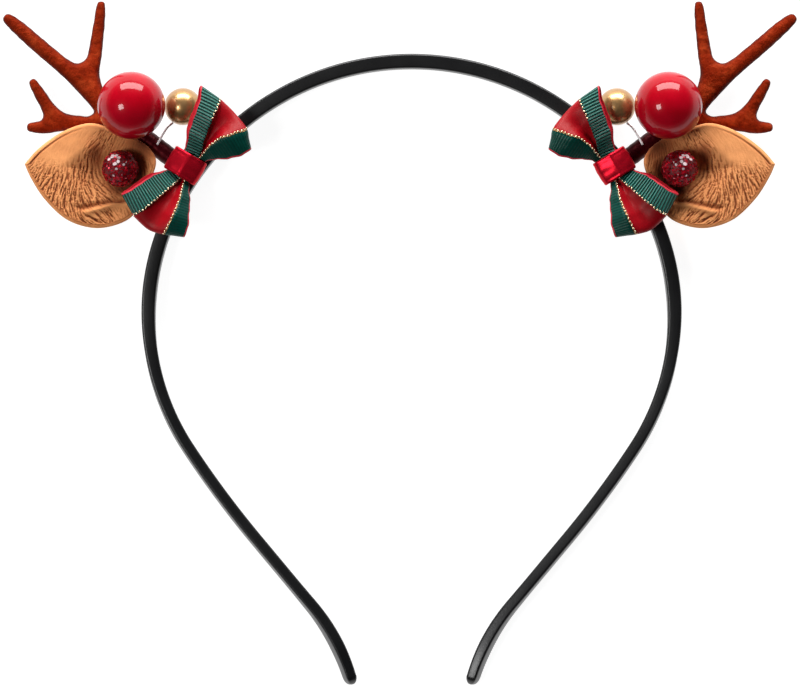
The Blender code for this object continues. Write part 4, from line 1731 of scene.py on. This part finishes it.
def make_stitches(seams, thread):
    points = []
    edges = []
    for seam in seams:
        start = len(points)
        points += [p + Vector((0, 0, STITCH_LIFT)) for p in seam]
        edges += [(start + i, start + i + 1) for i in range(len(seam) - 1)]
    lines = bpy.data.meshes.new("seams")
    lines.from_pydata([tuple(p) for p in points], edges, ())
    sizes = {
        "Step": STITCH_STEP,
        "Length": STITCH_LENGTH,
        "Width": STITCH_WIDTH,
        "Lean": math.radians(STITCH_LEAN),
    }
    made = run_tree("gold_stitches", stitch_tree(thread), lines, sizes)
    made.shade_smooth()
    print("gold stitches:", len(made.polygons) // GRAIN_FACES)
    both_sides("gold_stitches", made, [thread])


make_stitches(bow_seams, thread_finish())

# %% [markdown]
# ## The knots
#
# A short strap of red satin is wrapped round the pinch, with its edges turned under. Seen from
# the front it has a bright face to the left and a darker one to the right, with a soft edge
# between. The strap is a small closed shape swept round a profile: the profile gives the way
# round the bow, and a rounded bar gives the strap's width and thickness.

# %% Knot
KNOT_PROFILE = (
    # side, height
    (-4.45, 0.0),
    (-4.15, 1.1),
    (-3.2, 1.75),
    (-0.9, 2.70),
    (-0.2, 2.86),
    (0.5, 2.72),
    (3.2, 1.75),
    (4.15, 1.0),
    (4.45, 0.0),
    (4.1, -1.5),
    (2.6, -2.1),
    (0.0, -2.2),
    (-2.6, -2.1),
    (-4.1, -1.5),
)
KNOT_RISE = 0.2
KNOT_STEPS = 10
KNOT_LENGTH = 6.3
KNOT_EDGE = 0.34
KNOT_CROWN = 0.22
KNOT_RIPPLE = 0.06
KNOT_EDGE_STEPS = 6
KNOT_FLAT_STEPS = 26
KNOT_CREASES = (
    # place along, depth, width
    (-2.3, 0.05, 0.25),
    (-0.3, 0.03, 0.60),
    (2.2, 0.06, 0.30),
)


def knot_section():
    """The strap cut across: (along, outwards) points of a thin rounded bar with creases."""
    half = KNOT_LENGTH / 2
    outer = []
    for i in range(KNOT_FLAT_STEPS + 1):
        along = -half + KNOT_EDGE + i / KNOT_FLAT_STEPS * (KNOT_LENGTH - 2 * KNOT_EDGE)
        height = KNOT_EDGE + KNOT_CROWN * (1.0 - (along / half) ** 2)
        for place, depth, width in KNOT_CREASES:
            height -= depth * math.exp(-(((along - place) / width) ** 2))
        outer.append((along, height))
    inner = [(along, -KNOT_EDGE * 0.6) for along, _ in reversed(outer[::4])]
    edge_right = []
    edge_left = []
    for k in range(1, KNOT_EDGE_STEPS):
        angle = math.pi / 2 - k / KNOT_EDGE_STEPS * math.pi
        out = KNOT_EDGE * math.cos(angle)
        up = KNOT_EDGE * (0.8 * math.sin(angle) + 0.2)
        edge_right.append((half - KNOT_EDGE + out, up))
        edge_left.append((-half + KNOT_EDGE - out, up))
    return outer + edge_right + inner + edge_left[::-1]


def knot_mesh():
    axis = unit(KNOT_DIRECTION)
    side = unit(KNOT_DIRECTION - 90)
    profile = through([Vector(row) for row in KNOT_PROFILE], True, KNOT_STEPS)
    section = knot_section()
    points = []
    count = len(profile)
    for i, here in enumerate(profile):
        ahead = (profile[(i + 1) % count] - profile[i - 1]).normalized()
        away = Vector((-ahead.y, ahead.x))
        for along, out in section:
            ripple = KNOT_RIPPLE * noise.noise(Vector((here.x * 0.5, here.y * 0.5, along * 0.8)))
            spot = here + away * (out - KNOT_EDGE + ripple)
            flat = axis * along + side * spot.x
            points.append(BOW_CENTRE + Vector((flat.x, flat.y, spot.y + KNOT_RISE)))
    mesh = mesh_from("knot", points, ring_faces(count, len(section), closed=True))
    outwards(mesh)
    mesh.shade_smooth()
    return mesh


# %% [markdown]
# The strap is the same satin as on the stems, in a brighter red and with a little metal in its
# shine.


def make_knots(satin):
    mesh = knot_mesh()
    print("knot:", len(mesh.polygons), "faces")
    knots = both_sides("satin_knot", mesh, [satin], "knot")


red_satin = satin_finish("red_satin", (0.56, 0.006, 0.020), 0.32, 4000.0, 0.6, 0.55)
make_knots(red_satin)
